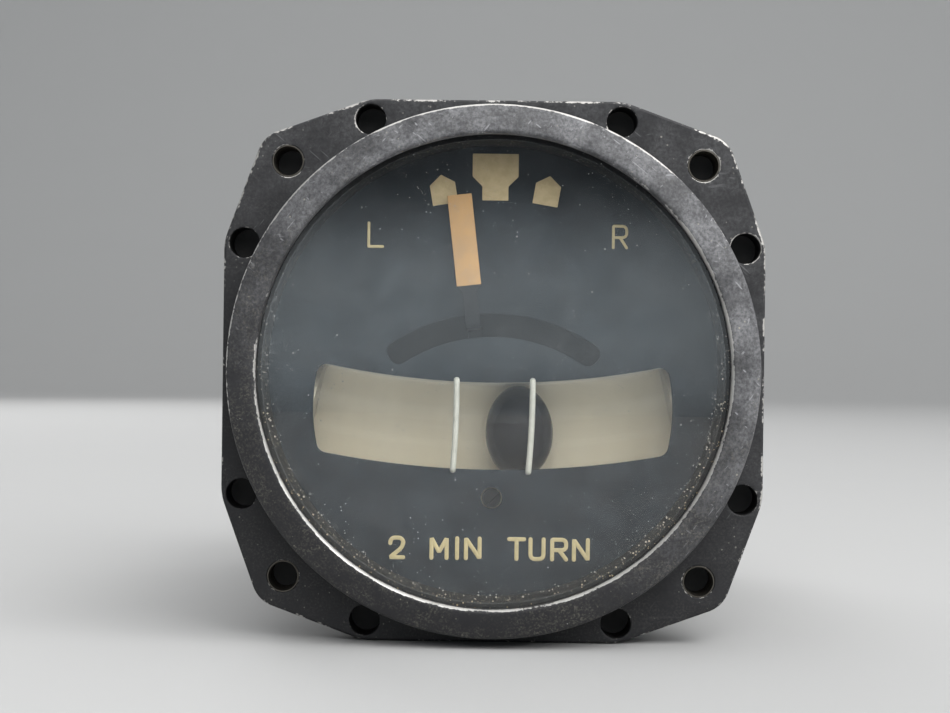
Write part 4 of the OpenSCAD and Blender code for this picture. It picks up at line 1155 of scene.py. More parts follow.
class Workshop:
    """Makes pieces: puts surfaces into meshes, dresses them and seats them in the frame."""

    def __init__(self) -> None:
        """Builds the material of every finish once."""
        self.materials = {finish: finish.value.make() for finish in Finish}

    def piece(self, name: str, surface: Surface, body: Body, slot: Slot, finish: Finish,
              replaced: Sequence[str] = (), bend: Bend | None = None) -> None:
        """Makes one piece from a surface.

        Args:
            name: The piece's name.
            surface: Its shape in millimetres.
            body: The body that it rides on.
            slot: The record's slot for it, handed on to seat.
            finish: Its finish.
            replaced: CAD nodes that it stands for.
            bend: Given where it joins two bodies; such a piece is attached to no body, with its place baked
                into its mesh.
        """
        mesh = bpy.data.meshes.new(name)
        mesh.from_pydata((surface.points * MM).tolist(), [],
                         [row for block in surface.faces for row in block.tolist()])
        for key, value in surface.values.items():
            mesh.attributes.new(key, "FLOAT", "POINT").data.foreach_set("value", value.astype(np.float32))
        self.weld(mesh)
        self.seat(name, mesh, body, slot, finish, replaced, CREASE_DEGREES, bend)

    def copy(self, node: str, body: Body, slot: Slot, finish: Finish, rounding: float) -> None:
        """Makes a copy of a CAD node with rounded edges.

        Args:
            node: The CAD node, which the copy replaces.
            body: The body that it rides on.
            slot: The record's slot for it, handed on to seat.
            finish: Its finish.
            rounding: Width of the rounded edges in millimetres.
        """
        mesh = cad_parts[node].data.copy()
        mesh.materials.clear()
        self.weld(mesh, FLAT_DEGREES)
        piece = self.seat(f"{node}_finished", mesh, body, slot, finish, [node], SHARP_DEGREES)
        bevel = piece.modifiers.new("rounded_edges", "BEVEL")
        bevel.width = rounding * MM
        bevel.segments = 2
        bevel.limit_method = "ANGLE"
        bevel.angle_limit = math.radians(BEVEL_DEGREES)
        bevel.harden_normals = True

    def dress(self, nodes: Sequence[str], finish: Finish) -> None:
        """Gives CAD nodes that keep their shape a finish.

        Args:
            nodes: The CAD nodes.
            finish: Their finish.
        """
        for node in nodes:
            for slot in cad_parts[node].material_slots:
                slot.material = self.materials[finish]
            LOG.info("dressed %s in %s", node, finish.value.name)

    def seat(self, name: str, mesh: bpy.types.Mesh, body: Body, slot: Slot, finish: Finish,
             replaced: Sequence[str], sharp: float, bend: Bend | None = None) -> bpy.types.Object:
        """Puts a mesh into the scene as a piece of the frame.

        Args:
            name: The piece's name.
            mesh: Its mesh in metres.
            body: The body that it rides on.
            slot: The record's slot; not used.
            finish: Its finish.
            replaced: CAD nodes that it stands for.
            sharp: Edges turning by more than this many degrees stay sharp.
            bend: Given where it joins two bodies; such a piece is attached to no body, with its place baked
                into its mesh.

        Returns:
            The piece's object.
        """
        mesh.shade_smooth()
        mesh.set_sharp_from_angle(angle=math.radians(sharp))
        mesh.materials.append(self.materials[finish])
        piece = bpy.data.objects.new(name, mesh)
        bpy.context.scene.collection.objects.link(piece)
        if bend:
            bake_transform(piece)
        else:
            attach(piece, body.value)
        if replaced:
            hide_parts(*replaced)
        LOG.info("made %s: %d faces on %s", name, len(mesh.polygons), body.value)
        return piece

    @staticmethod
    def weld(mesh: bpy.types.Mesh, flatten: float = 0.0) -> None:
        """Merges points that coincide, and flat neighbours where flatten gives an angle in degrees.

        Args:
            mesh: The mesh, which is changed.
            flatten: Largest angle between neighbours that merge. 0 merges none.
        """
        work = bmesh.new()
        work.from_mesh(mesh)
        bmesh.ops.remove_doubles(work, verts=work.verts, dist=SAME_POINT)
        bmesh.ops.dissolve_degenerate(work, dist=NO_LENGTH, edges=work.edges)
        if flatten:
            bmesh.ops.dissolve_limit(work, angle_limit=math.radians(flatten), verts=work.verts,
                                     edges=work.edges)
        work.to_mesh(mesh)
        work.free()


# Sub-assemblies


@dataclass
class CaseShell:
    """The die-cast case: a flange with twelve holes, and the barrel behind it."""

    half: float = 41.0
    flat: float = 19.3
    corner: float = 31.431
    corner_radius: float = 4.84
    thickness: float = 6.5
    hole_floor: float = 1.2
    insert_radius: float = 2.40
    thread_radius: float = 2.05
    side_near: float = 19.0
    side_far: float = 37.9
    side_radius: float = 2.3
    spigot_radius: float = 37.6
    spigot_bore: float = 35.6
    spigot_front: float = -3.6
    ledge_front: float = 5.0
    ledge_bore: float = 33.6
    barrel_front: float = 8.0
    barrel_bore: float = 36.0
    barrel_radius: float = 38.5
    root_radius: float = 40.05
    rim_radius: float = 41.0
    rim_front: float = 87.0
    back: float = 93.5
    ease: float = 1.5
    spigot_lap: float = 0.4
    root_front: float = 0.6
    root_lap: float = 0.3
    fillet: float = 2.6
    rim_edge: float = 0.9
    insert_gap: float = 0.02
    insert_pitch: float = 0.8
    insert_groove: float = 0.16

    def outline(self) -> Array:
        """The flange outline: a quarter from its right side to its top, turned four times.

        A quarter runs from the end of the straight side, eased by a parabola, to the tangent of the round
        corner, along the corner's arc, and on the other tangent to the next straight side.

        Returns:
            Outline points as X and Z, anticlockwise.
        """
        away = np.array([self.corner - self.flat, self.corner - self.half])
        span = float(np.hypot(*away))
        turn = math.atan2(away[1], away[0]) + math.asin(self.corner_radius / span)
        reach = math.sqrt(span ** 2 - self.corner_radius ** 2)
        touch = np.array([self.flat, self.half]) + reach * np.array([math.cos(turn), math.sin(turn)])
        top = math.atan2(touch[1] - self.corner, touch[0] - self.corner)
        corner = arc(self.corner, self.corner, self.corner_radius, math.pi / 2.0 - top, top, 17)
        ends = np.array([[self.half, self.flat], [self.flat, self.half]])
        ways = np.array([[0.0, -1.0], [-1.0, 0.0]])
        inner = np.stack([corner[0] - ends[0], corner[-1] - ends[1]])
        inner /= np.linalg.norm(inner, axis=1, keepdims=True)
        s = np.linspace(0.0, 1.0, 6)[:, None]
        right = ends[0] + self.ease * ((1 - s) ** 2 * ways[0] + s ** 2 * inner[0])
        left = ends[1] + self.ease * ((1 - s) ** 2 * inner[1] + s ** 2 * ways[1])
        quarter = np.concatenate([right, corner, left])
        spin = np.array([[0.0, 1.0], [-1.0, 0.0]])
        return np.concatenate([quarter @ np.linalg.matrix_power(spin, turns) for turns in range(4)])

    def corners(self) -> Array:
        """Centres of the four corner holes."""
        return self.corner * QUARTERS

    def sides(self) -> Array:
        """Centres of the eight side holes."""
        pair = np.array([self.side_near, self.side_far])
        return np.concatenate([QUARTERS * pair, QUARTERS * pair[::-1]])

    def flange(self) -> Surface:
        """The flange plate with rounded edges and its holes.

        Returns:
            The flange.
        """
        blind = [circle(self.insert_radius + self.insert_gap, 40, x, z) for x, z in self.corners()]
        blind += [circle(self.side_radius, 40, x, z) for x, z in self.sides()]
        bore = [circle(self.spigot_radius - self.spigot_lap, 192)]
        # The blind holes get painted shade inside from the enamel
        return plate(self.outline(), bore, 0.0, self.thickness, edge=0.4, hole_edge=0.2, spacing=0.8,
                     reach=0.6, steps=4, blind=blind, floor=self.thickness - self.hole_floor)

    def barrel(self) -> Surface:
        """The turned part: spigot, flange root, barrel and rear rim around the stepped bore.

        Returns:
            The turned part.
        """
        loop = np.array([
            [self.spigot_radius, self.spigot_front], [self.spigot_radius, self.root_front],
            [self.root_radius, self.root_front], [self.root_radius, self.thickness + self.root_lap],
            [self.barrel_radius, self.thickness + self.fillet],
            [self.barrel_radius, self.rim_front - self.fillet], [self.rim_radius, self.rim_front],
            [self.rim_radius, self.rim_front + self.rim_edge], [self.rim_radius, self.back - self.rim_edge],
            [self.rim_radius, self.back], [self.barrel_bore, self.back],
            [self.barrel_bore, self.barrel_front], [self.ledge_bore, self.barrel_front],
            [self.ledge_bore, self.ledge_front], [self.spigot_bore, self.ledge_front],
            [self.spigot_bore, self.spigot_front]])
        reach = np.array([0.2, 0.1, 0.1, 0.4, 1.4, 1.4, 0.5, 0.1, 0.1, 0.5, 0.2, 0.3, 0.2, 0.2, 0.2, 0.2])
        wear = np.array([0.2, 0, 0, 0, 0, 0, 0.85, 0.2, 0.2, 0.9, 0.2, 0, 0, 0, 0, 0.2])
        steps = 4
        return lathe(smoothed(loop, reach, steps), edge=np.repeat(wear, steps + 1))

    def inserts(self) -> Surface:
        """Threaded inserts: rings with a rounded front lip and a helical thread in the bore.

        Returns:
            All four inserts.
        """
        end = self.thickness - self.hole_floor
        depth = np.linspace(end - 0.05, 0.5, 40)
        outer = np.array([[self.thread_radius + 0.12, 0.22], [self.thread_radius + 0.2, 0.02],
                          [self.insert_radius - 0.05, 0.02], [self.insert_radius, 0.08],
                          [self.insert_radius, end - 0.05]])
        radius = np.concatenate([np.full(len(depth), self.thread_radius), outer[:, 0]])
        where = np.concatenate([np.full(len(depth), -1.0), np.zeros(len(outer))])
        one = helix(radius, np.concatenate([depth, outer[:, 1]]), self.insert_pitch, self.insert_groove,
                    segments=40, where=where)
        one.values["edge"] = np.abs(one.values["edge"])
        return joined([one.moved(x, 0.0, z) for x, z in self.corners()])

    def build(self, shop: Workshop) -> None:
        """Makes the case and its inserts.

        Args:
            shop: The workshop that makes the pieces.
        """
        shop.piece("case_shell", joined([self.flange(), self.barrel()]), Body.CASE, Slot.CASE, Finish.CASE,
                   ["case_body"])
        shop.piece("corner_inserts", self.inserts(), Body.CASE, Slot.INSERT, Finish.INSERT,
                   ["mounting_inserts"])


@dataclass
class BezelAndGlass:
    """The screwed bezel ring, the cover glass behind its lip, the gasket and the dial spacer."""

    outer: float = 39.5
    inner: float = 35.0
    thread: float = 37.62
    front: float = -8.0
    set_back: float = 0.02
    fall: float = 0.95
    fall_power: float = 1.4
    round_off: float = 0.55
    inner_stretch: float = 1.7
    outer_stretch: float = 1.2
    # Directions in which the inner and outer edges face the lamps, where their bare metal is kept as a
    # painted highlight, with the spread and least share of it
    inner_lit_way: tuple[float, float] = (0.30, -0.95)
    inner_spread: tuple[float, float] = (-0.75, 0.05)
    inner_least: float = 0.30
    outer_lit_way: tuple[float, float] = (-0.45, 0.89)
    outer_spread: tuple[float, float] = (-0.1, 0.6)
    outer_least: float = 0.35
    lip_back: float = -6.2
    foot: float = -0.3
    glass_radius: float = 37.4
    glass_back: float = -4.2
    ground: float = 0.25
    gasket_inner: float = 34.4
    gasket_back: float = -3.6
    swell: float = 0.12
    dial_radius: float = 35.4
    dial_front: float = 4.0

    def bezel(self) -> Surface:
        """The bezel ring: a face that falls away outwards between a worn inner and a rounded outer edge.

        The face drops by fall times a power of u as u goes from 0 at its inner edge to 1, and runs on into a
        quarter of an ellipse where their slopes are equal. The edge wear is kept on the inner edge at its
        bottom and right, and on the outer edge at its top left, where they face the lamps, as a painted
        highlight: its share grows from its least to all of it as the cosine to the lit direction goes through
        its spread.

        Returns:
            The bezel, with its wear in the point value "edge".
        """
        tall, deep = self.outer_stretch * self.round_off, self.inner_stretch * self.round_off
        low = self.inner + self.round_off
        slope = self.fall_power * self.fall / (self.outer - low - self.round_off / 2.0)
        first = math.atan(slope / self.outer_stretch)
        u = np.linspace(0.0, 1.0, 13)
        high = self.outer - self.round_off * (1.0 - math.sin(first))
        drop = self.front + self.set_back + self.fall * u ** self.fall_power
        face = np.stack([low + u * (high - low), drop], axis=1)
        t = np.linspace(first, math.pi / 2.0, 7)[1:]
        outside = np.stack([self.outer - self.round_off * (1 - np.sin(t)),
                            face[-1, 1] + tall * (math.cos(first) - np.cos(t))], axis=1)
        t = np.linspace(math.pi / 2.0, 0.0, 7)[:-1]
        lip = np.stack([low - self.round_off * np.sin(t), face[0, 1] + deep * (1 - np.cos(t))], axis=1)
        side = outside[-1, 1]
        rest = np.array([
            [self.outer, side + 0.5], [self.outer, self.foot - 0.8], [self.outer, self.foot - 0.25],
            [self.outer - 0.25, self.foot], [self.thread, self.foot], [self.thread, self.lip_back],
            [self.inner + 0.1, self.lip_back], [self.inner, self.lip_back - 0.1]])
        wear = np.concatenate([[0.7, 1.4, 1.9, 1.9, 1.5, 0.8], 0.30 * (1 - u) ** 8 + 0.45 * u ** 10,
                               [0.9, 1.3, 1.4, 1.2, 0.8, 0.4], [0.1, 0.1, 0.6, 0.5, 0.0, 0.0, 0.1, 0.3]])
        ring = lathe(np.concatenate([lip, face, outside, rest]), segments=256, edge=wear)
        place = ring.points[:, [0, 2]]
        reach = np.linalg.norm(place, axis=1)
        # Painted highlight: each edge keeps its bare metal where it faces the lamps and loses most of it
        # elsewhere
        inner_share = np.interp(place @ self.inner_lit_way / reach, self.inner_spread, (self.inner_least, 1.0))
        outer_share = np.interp(place @ self.outer_lit_way / reach, self.outer_spread, (self.outer_least, 1.0))
        middle = (self.inner + self.outer) / 2.0
        ring.values["edge"] *= np.where(reach < middle, inner_share, outer_share)
        return ring

    def glass(self) -> Surface:
        """The cover glass: a flat disc with a ground edge.

        Returns:
            The disc.
        """
        near, far, r, ground = self.lip_back, self.glass_back, self.glass_radius, self.ground
        front = [[0, near], [r * 0.5, near], [r - ground, near], [r, near + ground]]
        rear = [[r, far - ground], [r - ground, far], [r * 0.5, far], [0, far]]
        return lathe(np.array(front + rear, float), closed=False, segments=256)

    def gasket(self) -> Surface:
        """The glass gasket: a flat ring whose inner edge swells round.

        Returns:
            The gasket.
        """
        near, far, swell = self.glass_back, self.gasket_back, self.swell
        t = np.linspace(0.0, math.pi, 9)
        middle, half = (near + far) / 2, (far - near) / 2
        bulge = np.stack([self.gasket_inner + swell - swell * np.sin(t), middle - half * np.cos(t)], axis=1)
        ring = np.array([[self.glass_radius, far], [self.glass_radius, near]])
        return lathe(np.concatenate([bulge, ring]))

    def spacer(self) -> Surface:
        """The spacer ring between gasket and dial, with broken edges.

        Returns:
            The spacer.
        """
        loop = np.array([[self.gasket_inner, self.gasket_back], [self.gasket_inner, self.dial_front],
                         [self.dial_radius, self.dial_front], [self.dial_radius, self.gasket_back]])
        return lathe(smoothed(loop, 0.15, steps=3))

    def build(self, shop: Workshop) -> None:
        """Makes the bezel, the glass and the rings behind it.

        Args:
            shop: The workshop that makes the pieces.
        """
        shop.piece("bezel_turned", self.bezel(), Body.CASE, Slot.BEZEL, Finish.BEZEL, ["bezel_ring"])
        shop.piece("cover_glass_disc", self.glass(), Body.CASE, Slot.GLASS, Finish.GLASS, ["cover_glass"])
        shop.piece("glass_seal", self.gasket(), Body.CASE, Slot.RUBBER, Finish.RUBBER, ["glass_gasket"])
        shop.piece("dial_spacer_ring", self.spacer(), Body.CASE, Slot.DIAL, Finish.RING, ["dial_spacer"])


class Glyph(Enum):
    """Letters and figures as strokes: their corner points in a box that is 1 wide and 1 high."""

    L = (((0.0, 1.0), (0.0, 0.0), (1.0, 0.0)),)
    I = (((0.0, 1.0), (0.0, 0.0)),)
    T = (((0.0, 1.0), (1.0, 1.0)), ((0.5, 1.0), (0.5, 0.0)))
    N = (((0.0, 0.0), (0.0, 1.0), (1.0, 0.0), (1.0, 1.0)),)
    M = (((0.0, 0.0), (0.0, 1.0), (0.5, 0.3), (1.0, 1.0), (1.0, 0.0)),)
    U = (((0.0, 1.0), (0.0, 0.0), (1.0, 0.0), (1.0, 1.0)),)
    R = (((0.0, 0.0), (0.0, 1.0), (1.0, 1.0), (1.0, 0.47), (0.0, 0.47)), ((0.5, 0.47), (1.0, 0.0)))
    TWO = (((0.0, 0.72), (0.02, 1.0), (1.0, 1.0), (1.0, 0.55), (0.0, 0.0), (1.0, 0.0)),)


@dataclass
class DialFace:
    """The dial plate with its window and slot, its index marks, legends and wires."""

    radius: float = 35.4
    front: float = 4.0
    back: float = 5.0
    staff_z: float = -19.5
    bend_z: float = 125.7
    window_radius: float = 134.2
    window_half: float = 27.6
    window_drop: float = 5.8
    window_height: float = 13.4
    window_corner: float = 1.6
    slot_radius: float = 26.5
    slot_half_width: float = 1.8
    slot_half_angle: float = 33.0
    screw_hole: float = 1.65
    mark_radius: float = 45.6
    mark_angle: float = 9.6
    mark_rise: float = 0.12
    wire_radius: float = 0.46
    wire_front: float = 3.5
    wire_bow: float = 0.16
    wire_bend: float = 0.5
    legend_rise: float = 0.07
    legend_width: float = 0.66
    side_width: float = 0.46
    sink: float = 0.02

    def window(self) -> Array:
        """The window: two arcs about the tube's bend centre, closed by the ends of a circle.

        A corner's circle touches both, so its centre is where the end circle drawn in by the corner
        radius meets the arc drawn in by it.

        Returns:
            Outline points as X and Z, anticlockwise.
        """
        corner, middle = self.window_corner, -self.window_drop
        inner = self.window_half - corner

        def centre(reach: float) -> tuple[float, float]:
            """Where the drawn-in end circle meets the circle of this reach about the bend centre."""
            z = (inner ** 2 - reach ** 2 + self.bend_z ** 2 - middle ** 2) / (2.0 * (self.bend_z - middle))
            return math.sqrt(inner ** 2 - (z - middle) ** 2), z

        high_radius = self.window_radius - self.window_height / 2.0
        low_radius = self.window_radius + self.window_height / 2.0
        high, low = centre(high_radius + corner), centre(low_radius - corner)
        low_turn = math.atan2(low[1] - self.bend_z, low[0])
        high_turn = math.atan2(high[1] - self.bend_z, high[0])
        low_end, high_end = (math.atan2(p[1] - middle, p[0]) for p in (low, high))
        right = np.concatenate([
            arc(0.0, self.bend_z, low_radius, -math.pi / 2.0, low_turn), arc(*low, corner, low_turn, low_end),
            arc(0.0, middle, self.window_half, low_end, high_end),
            arc(*high, corner, high_end, high_turn + math.pi),
            arc(0.0, self.bend_z, high_radius, high_turn, -math.pi / 2.0)])
        return resampled(np.concatenate([right, right[::-1] * [-1.0, 1.0]]), 280)

    def slot(self) -> Array:
        """The hand's slot: a rounded rectangle bent about the hand staff.

        Returns:
            Outline points as X and Z, anticlockwise.
        """
        half = math.radians(self.slot_half_angle) * self.slot_radius + self.slot_half_width
        flat = box_outline(half, self.slot_half_width, self.slot_half_width * 0.98, 140)
        angle, reach = flat[:, 0] / self.slot_radius, self.slot_radius + flat[:, 1]
        return np.stack([reach * np.sin(angle), self.staff_z + reach * np.cos(angle)], axis=1)

    def wire_ends(self) -> Array:
        """Upper and lower end of each index wire, as wire by end by X and Z. Both lean to the right."""
        return np.array([[[-5.55, -1.45], [-5.98, -15.25]], [[6.10, -1.45], [5.58, -15.45]]])

    def wires(self) -> Surface:
        """The two index wires: each bows across the window and goes back into the dial at both edges.

        Returns:
            Both wires.
        """
        made = []
        hidden = self.back - 0.1
        t = np.linspace(0.0, 1.0, 26)[:, None]
        for top, low in self.wire_ends():
            line = top * (1 - t) + low * t
            line[:, :1] += self.wire_bow * np.sin(math.pi * t)
            crossing = np.concatenate([line[:, :1], np.full_like(t, self.wire_front), line[:, 1:]], axis=1)
            path = np.concatenate([[[top[0], hidden, top[1]]], crossing, [[low[0], hidden, low[1]]]])
            reach = np.full(len(path), 0.02)
            reach[[1, -2]] = self.wire_bend
            bent = smoothed(path, reach, steps=5, loop=False)
            made.append(tube(resampled(bent, 110, loop=False), self.wire_radius, sides=14))
        return joined(made)

    def plate(self) -> Surface:
        """The dial plate with every hole.

        Returns:
            The plate.
        """
        holes = [self.window(), self.slot(), circle(self.screw_hole, 40, z=self.staff_z)]
        return plate(circle(self.radius, 192), holes, self.front, self.back, edge=0.12,
                     hole_edge=0.06)

    def marks(self) -> Surface:
        """The middle mark and two roofed side marks, turned about the hand staff.

        Returns:
            All three marks.
        """
        middle = np.array([[-2.0, 0], [2.0, 0], [2.0, 2.15], [3.52, 3.65], [3.52, 7.15], [-3.52, 7.15],
                           [-3.52, 3.65], [-2.0, 2.15]])
        side = np.array([[-1.95, 0], [1.95, 0], [1.95, 3.15], [0, 4.55], [-1.95, 3.15]])
        made = []
        for outline, degrees in ((middle, 0.0), (side, -self.mark_angle), (side, self.mark_angle)):
            rounded = smoothed(outline + [0.0, self.mark_radius], 0.12, steps=3)
            x, z = turned(rounded[:, 0], rounded[:, 1], math.radians(degrees))
            made.append(plate(np.stack([x, self.staff_z + z], axis=1), [], self.front - self.mark_rise,
                              self.front + self.sink, edge=0.05, steps=2))
        return joined(made)

    def legend(self, glyph: Glyph, left: float, right: float, low: float, high: float,
               width: float) -> Surface:
        """One letter or figure in its box.

        Args:
            glyph: The letter or figure.
            left: Left side of the box.
            right: Right side of the box.
            low: Bottom of the box.
            high: Top of the box.
            width: Width of the strokes, which stay inside the box.

        Returns:
            Its strokes.
        """
        # The foot of the figure and the upper left corner of the R stay crisp
        crisp = 0.04
        round_off = {Glyph.TWO: 0.85, Glyph.U: 0.8, Glyph.R: 0.75}.get(glyph, crisp)
        size = np.array([max(right - left - width, 0.0), high - low - width])
        made = []
        for corners in glyph.value:
            line = np.array(corners) * size + [left + width / 2.0, low + width / 2.0]
            reach = np.full(len(line), round_off)
            if glyph is Glyph.TWO:
                reach[[1, 4]] = [0.75, crisp]
            if glyph is Glyph.R:
                reach[1] = crisp
            rounded = smoothed(line, reach, steps=8, loop=False) if len(line) > 2 else line
            made.append(stroke(resampled(rounded, 60, loop=False), width, self.front - self.legend_rise,
                               self.front + self.sink))
        return joined(made)

    def legends(self) -> Surface:
        """The words below the window, and the letters at the sides.

        Returns:
            All their strokes.
        """
        low, high = -29.06, -25.40
        words = [(Glyph.TWO, -15.74, -13.10), (Glyph.M, -9.42, -6.44), (Glyph.I, -5.50, -4.84),
                 (Glyph.N, -4.14, -1.39), (Glyph.T, 2.48, 5.40), (Glyph.U, 5.74, 8.41),
                 (Glyph.R, 9.07, 11.87), (Glyph.N, 12.40, 15.18)]
        made = [self.legend(glyph, a, b, low, high, self.legend_width) for glyph, a, b in words]
        made.append(self.legend(Glyph.L, -19.55, -16.95, 18.62, 22.66, self.side_width))
        made.append(self.legend(Glyph.R, 17.92, 20.42, 18.88, 22.64, self.side_width))
        return joined(made)

    def build(self, shop: Workshop) -> None:
        """Makes the dial and everything on it.

        Args:
            shop: The workshop that makes the pieces.
        """
        shop.piece("dial_face", self.plate(), Body.CASE, Slot.DIAL, Finish.DIAL, ["dial_plate"])
        shop.piece("index_marks", self.marks(), Body.CASE, Slot.MARK, Finish.MARK, ["dial_marks"])
        shop.piece("dial_legends", self.legends(), Body.CASE, Slot.MARK, Finish.LEGEND)
        shop.piece("window_wires", self.wires(), Body.CASE, Slot.WIRE, Finish.WIRE, ["index_wires"])
        shop.copy("staff_bearing_screw", Body.CASE, Slot.DARK_SCREW, Finish.DARK_SCREW, rounding=0.08)


@dataclass
class Inclinometer:
    """The liquid tube, its ball, the card behind it and its holder."""

    bend_z: float = 125.7
    bend_radius: float = 135.0
    tube_y: float = 12.65
    tube_radius: float = 7.25
    half_angle: float = 12.6183
    round_off: float = 1.0
    ball_radius: float = 5.3
    ball_angle: float = 1.8
    ball_bend: float = 135.35

    def tube(self) -> Surface:
        """The filled tube: a circle carried along an arc, drawn in to a rounded rim at each end.

        Returns:
            The tube.
        """
        t = np.linspace(0.0, math.pi / 2.0, 6)
        reach = math.radians(self.half_angle) - self.round_off / self.bend_radius * (1 - np.sin(t))
        rim = self.tube_radius - self.round_off * (1 - np.cos(t))
        middle = np.linspace(-reach[0], reach[0], 121)[1:-1]
        angle = np.concatenate([[-reach[-1]], -reach[::-1], middle, reach, [reach[-1]]])
        full = np.full(len(middle), self.tube_radius)
        radius = np.concatenate([[0.0], rim[::-1], full, rim, [0.0]])[:, None]
        turn = np.linspace(0.0, TAU, 96, endpoint=False)
        swing = self.bend_radius + radius * np.cos(turn)
        points = np.stack([swing * np.sin(angle)[:, None], self.tube_y + radius * np.sin(turn),
                           self.bend_z - swing * np.cos(angle)[:, None]], axis=-1)
        return ring_grid(points, False)

    def ball(self) -> Surface:
        """The slip ball, resting on the tube's lower wall.

        Returns:
            The ball.
        """
        t = np.linspace(0.0, math.pi, 65)
        profile = self.ball_radius * np.stack([np.sin(t), -np.cos(t)], axis=1)
        swing = math.radians(self.ball_angle)
        return lathe(profile, closed=False, segments=96).moved(
            self.ball_bend * math.sin(swing), self.tube_y, self.bend_z - self.ball_bend * math.cos(swing))

    def build(self, shop: Workshop) -> None:
        """Makes the tube and the ball, and dresses what stands behind them.

        Args:
            shop: The workshop that makes the pieces.
        """
        shop.piece("filled_tube", self.tube(), Body.CASE, Slot.TUBE, Finish.LIQUID, ["inclinometer_tube"])
        shop.piece("slip_ball_polished", self.ball(), Body.BALL, Slot.BALL, Finish.BALL, ["slip_ball"])
        shop.dress(["tube_backing"], Finish.CARD)
        shop.dress(["inclinometer_holder"], Finish.LACQUER)
        shop.dress(["tube_stoppers"], Finish.STOPPER)


@dataclass
class TurnHand:
    """The turn hand: a strap that comes forward through the dial's slot to a wide painted tip."""

    staff_z: float = -19.5
    rest_angle: float = -6.75
    tip: float = 46.6
    tip_length: float = 13.9
    tip_width: float = 3.74
    arm_width: float = 2.2
    leg: float = 26.5
    thickness: float = 0.8
    bend: float = 0.75
    corner: float = 0.12
    front: float = 2.4
    back: float = 22.7
    hub_radius: float = 2.8
    hub_bore: float = 1.27

    def shape(self) -> Surface:
        """The strap and its hub: down from the tip, back through the slot, and down to the staff.

        Returns:
            The hand, with its paint in the point value "paint".
        """
        shoulder = self.tip - self.tip_length
        line = np.array([[self.tip, self.front], [self.leg, self.front], [self.leg, self.back],
                         [0.0, self.back]])
        rounded = smoothed(line, self.bend, loop=False)
        # Stations at the tip's end and at its shoulder, where the width and the paint change
        heights = (self.tip - 0.06, self.tip - 0.3, shoulder + 0.04, shoulder, shoulder - 0.04,
                   shoulder - 1.0)
        extra = np.array([[height, self.front] for height in heights])
        path = np.concatenate([rounded[:1], extra, rounded[1:]])
        wide = [self.tip_width - 0.12] + [self.tip_width] * 4 + [self.tip_width - 0.1]
        width = np.array(wide + [self.arm_width] * (len(path) - len(wide)))
        paint = (path[:, 0] > shoulder).astype(float)
        turn = math.radians(self.rest_angle)
        points = np.stack([path[:, 0] * math.sin(turn), path[:, 1],
                           self.staff_z + path[:, 0] * math.cos(turn)], axis=1)
        across = np.array([math.cos(turn), 0.0, -math.sin(turn)])
        arm = strap(points, across, width, self.thickness, self.corner, {"paint": paint})
        low, high = self.back - self.thickness / 2.0, self.back + self.thickness / 2.0
        loop = np.array([[self.hub_bore, low], [self.hub_radius, low], [self.hub_radius, high],
                         [self.hub_bore, high]])
        hub = lathe(smoothed(loop, 0.1, steps=2), segments=64)
        return joined([arm, hub.moved(z=self.staff_z)])

    def build(self, shop: Workshop) -> None:
        """Makes the hand and dresses what moves with it.

        Args:
            shop: The workshop that makes the pieces.
        """
        shop.piece("turn_hand_painted", self.shape(), Body.HAND, Slot.HAND, Finish.HAND, ["turn_hand"])
        shop.dress(["hand_staff"], Finish.STEEL)
        shop.dress(["hand_fork", "hand_weight"], Finish.BRASS)


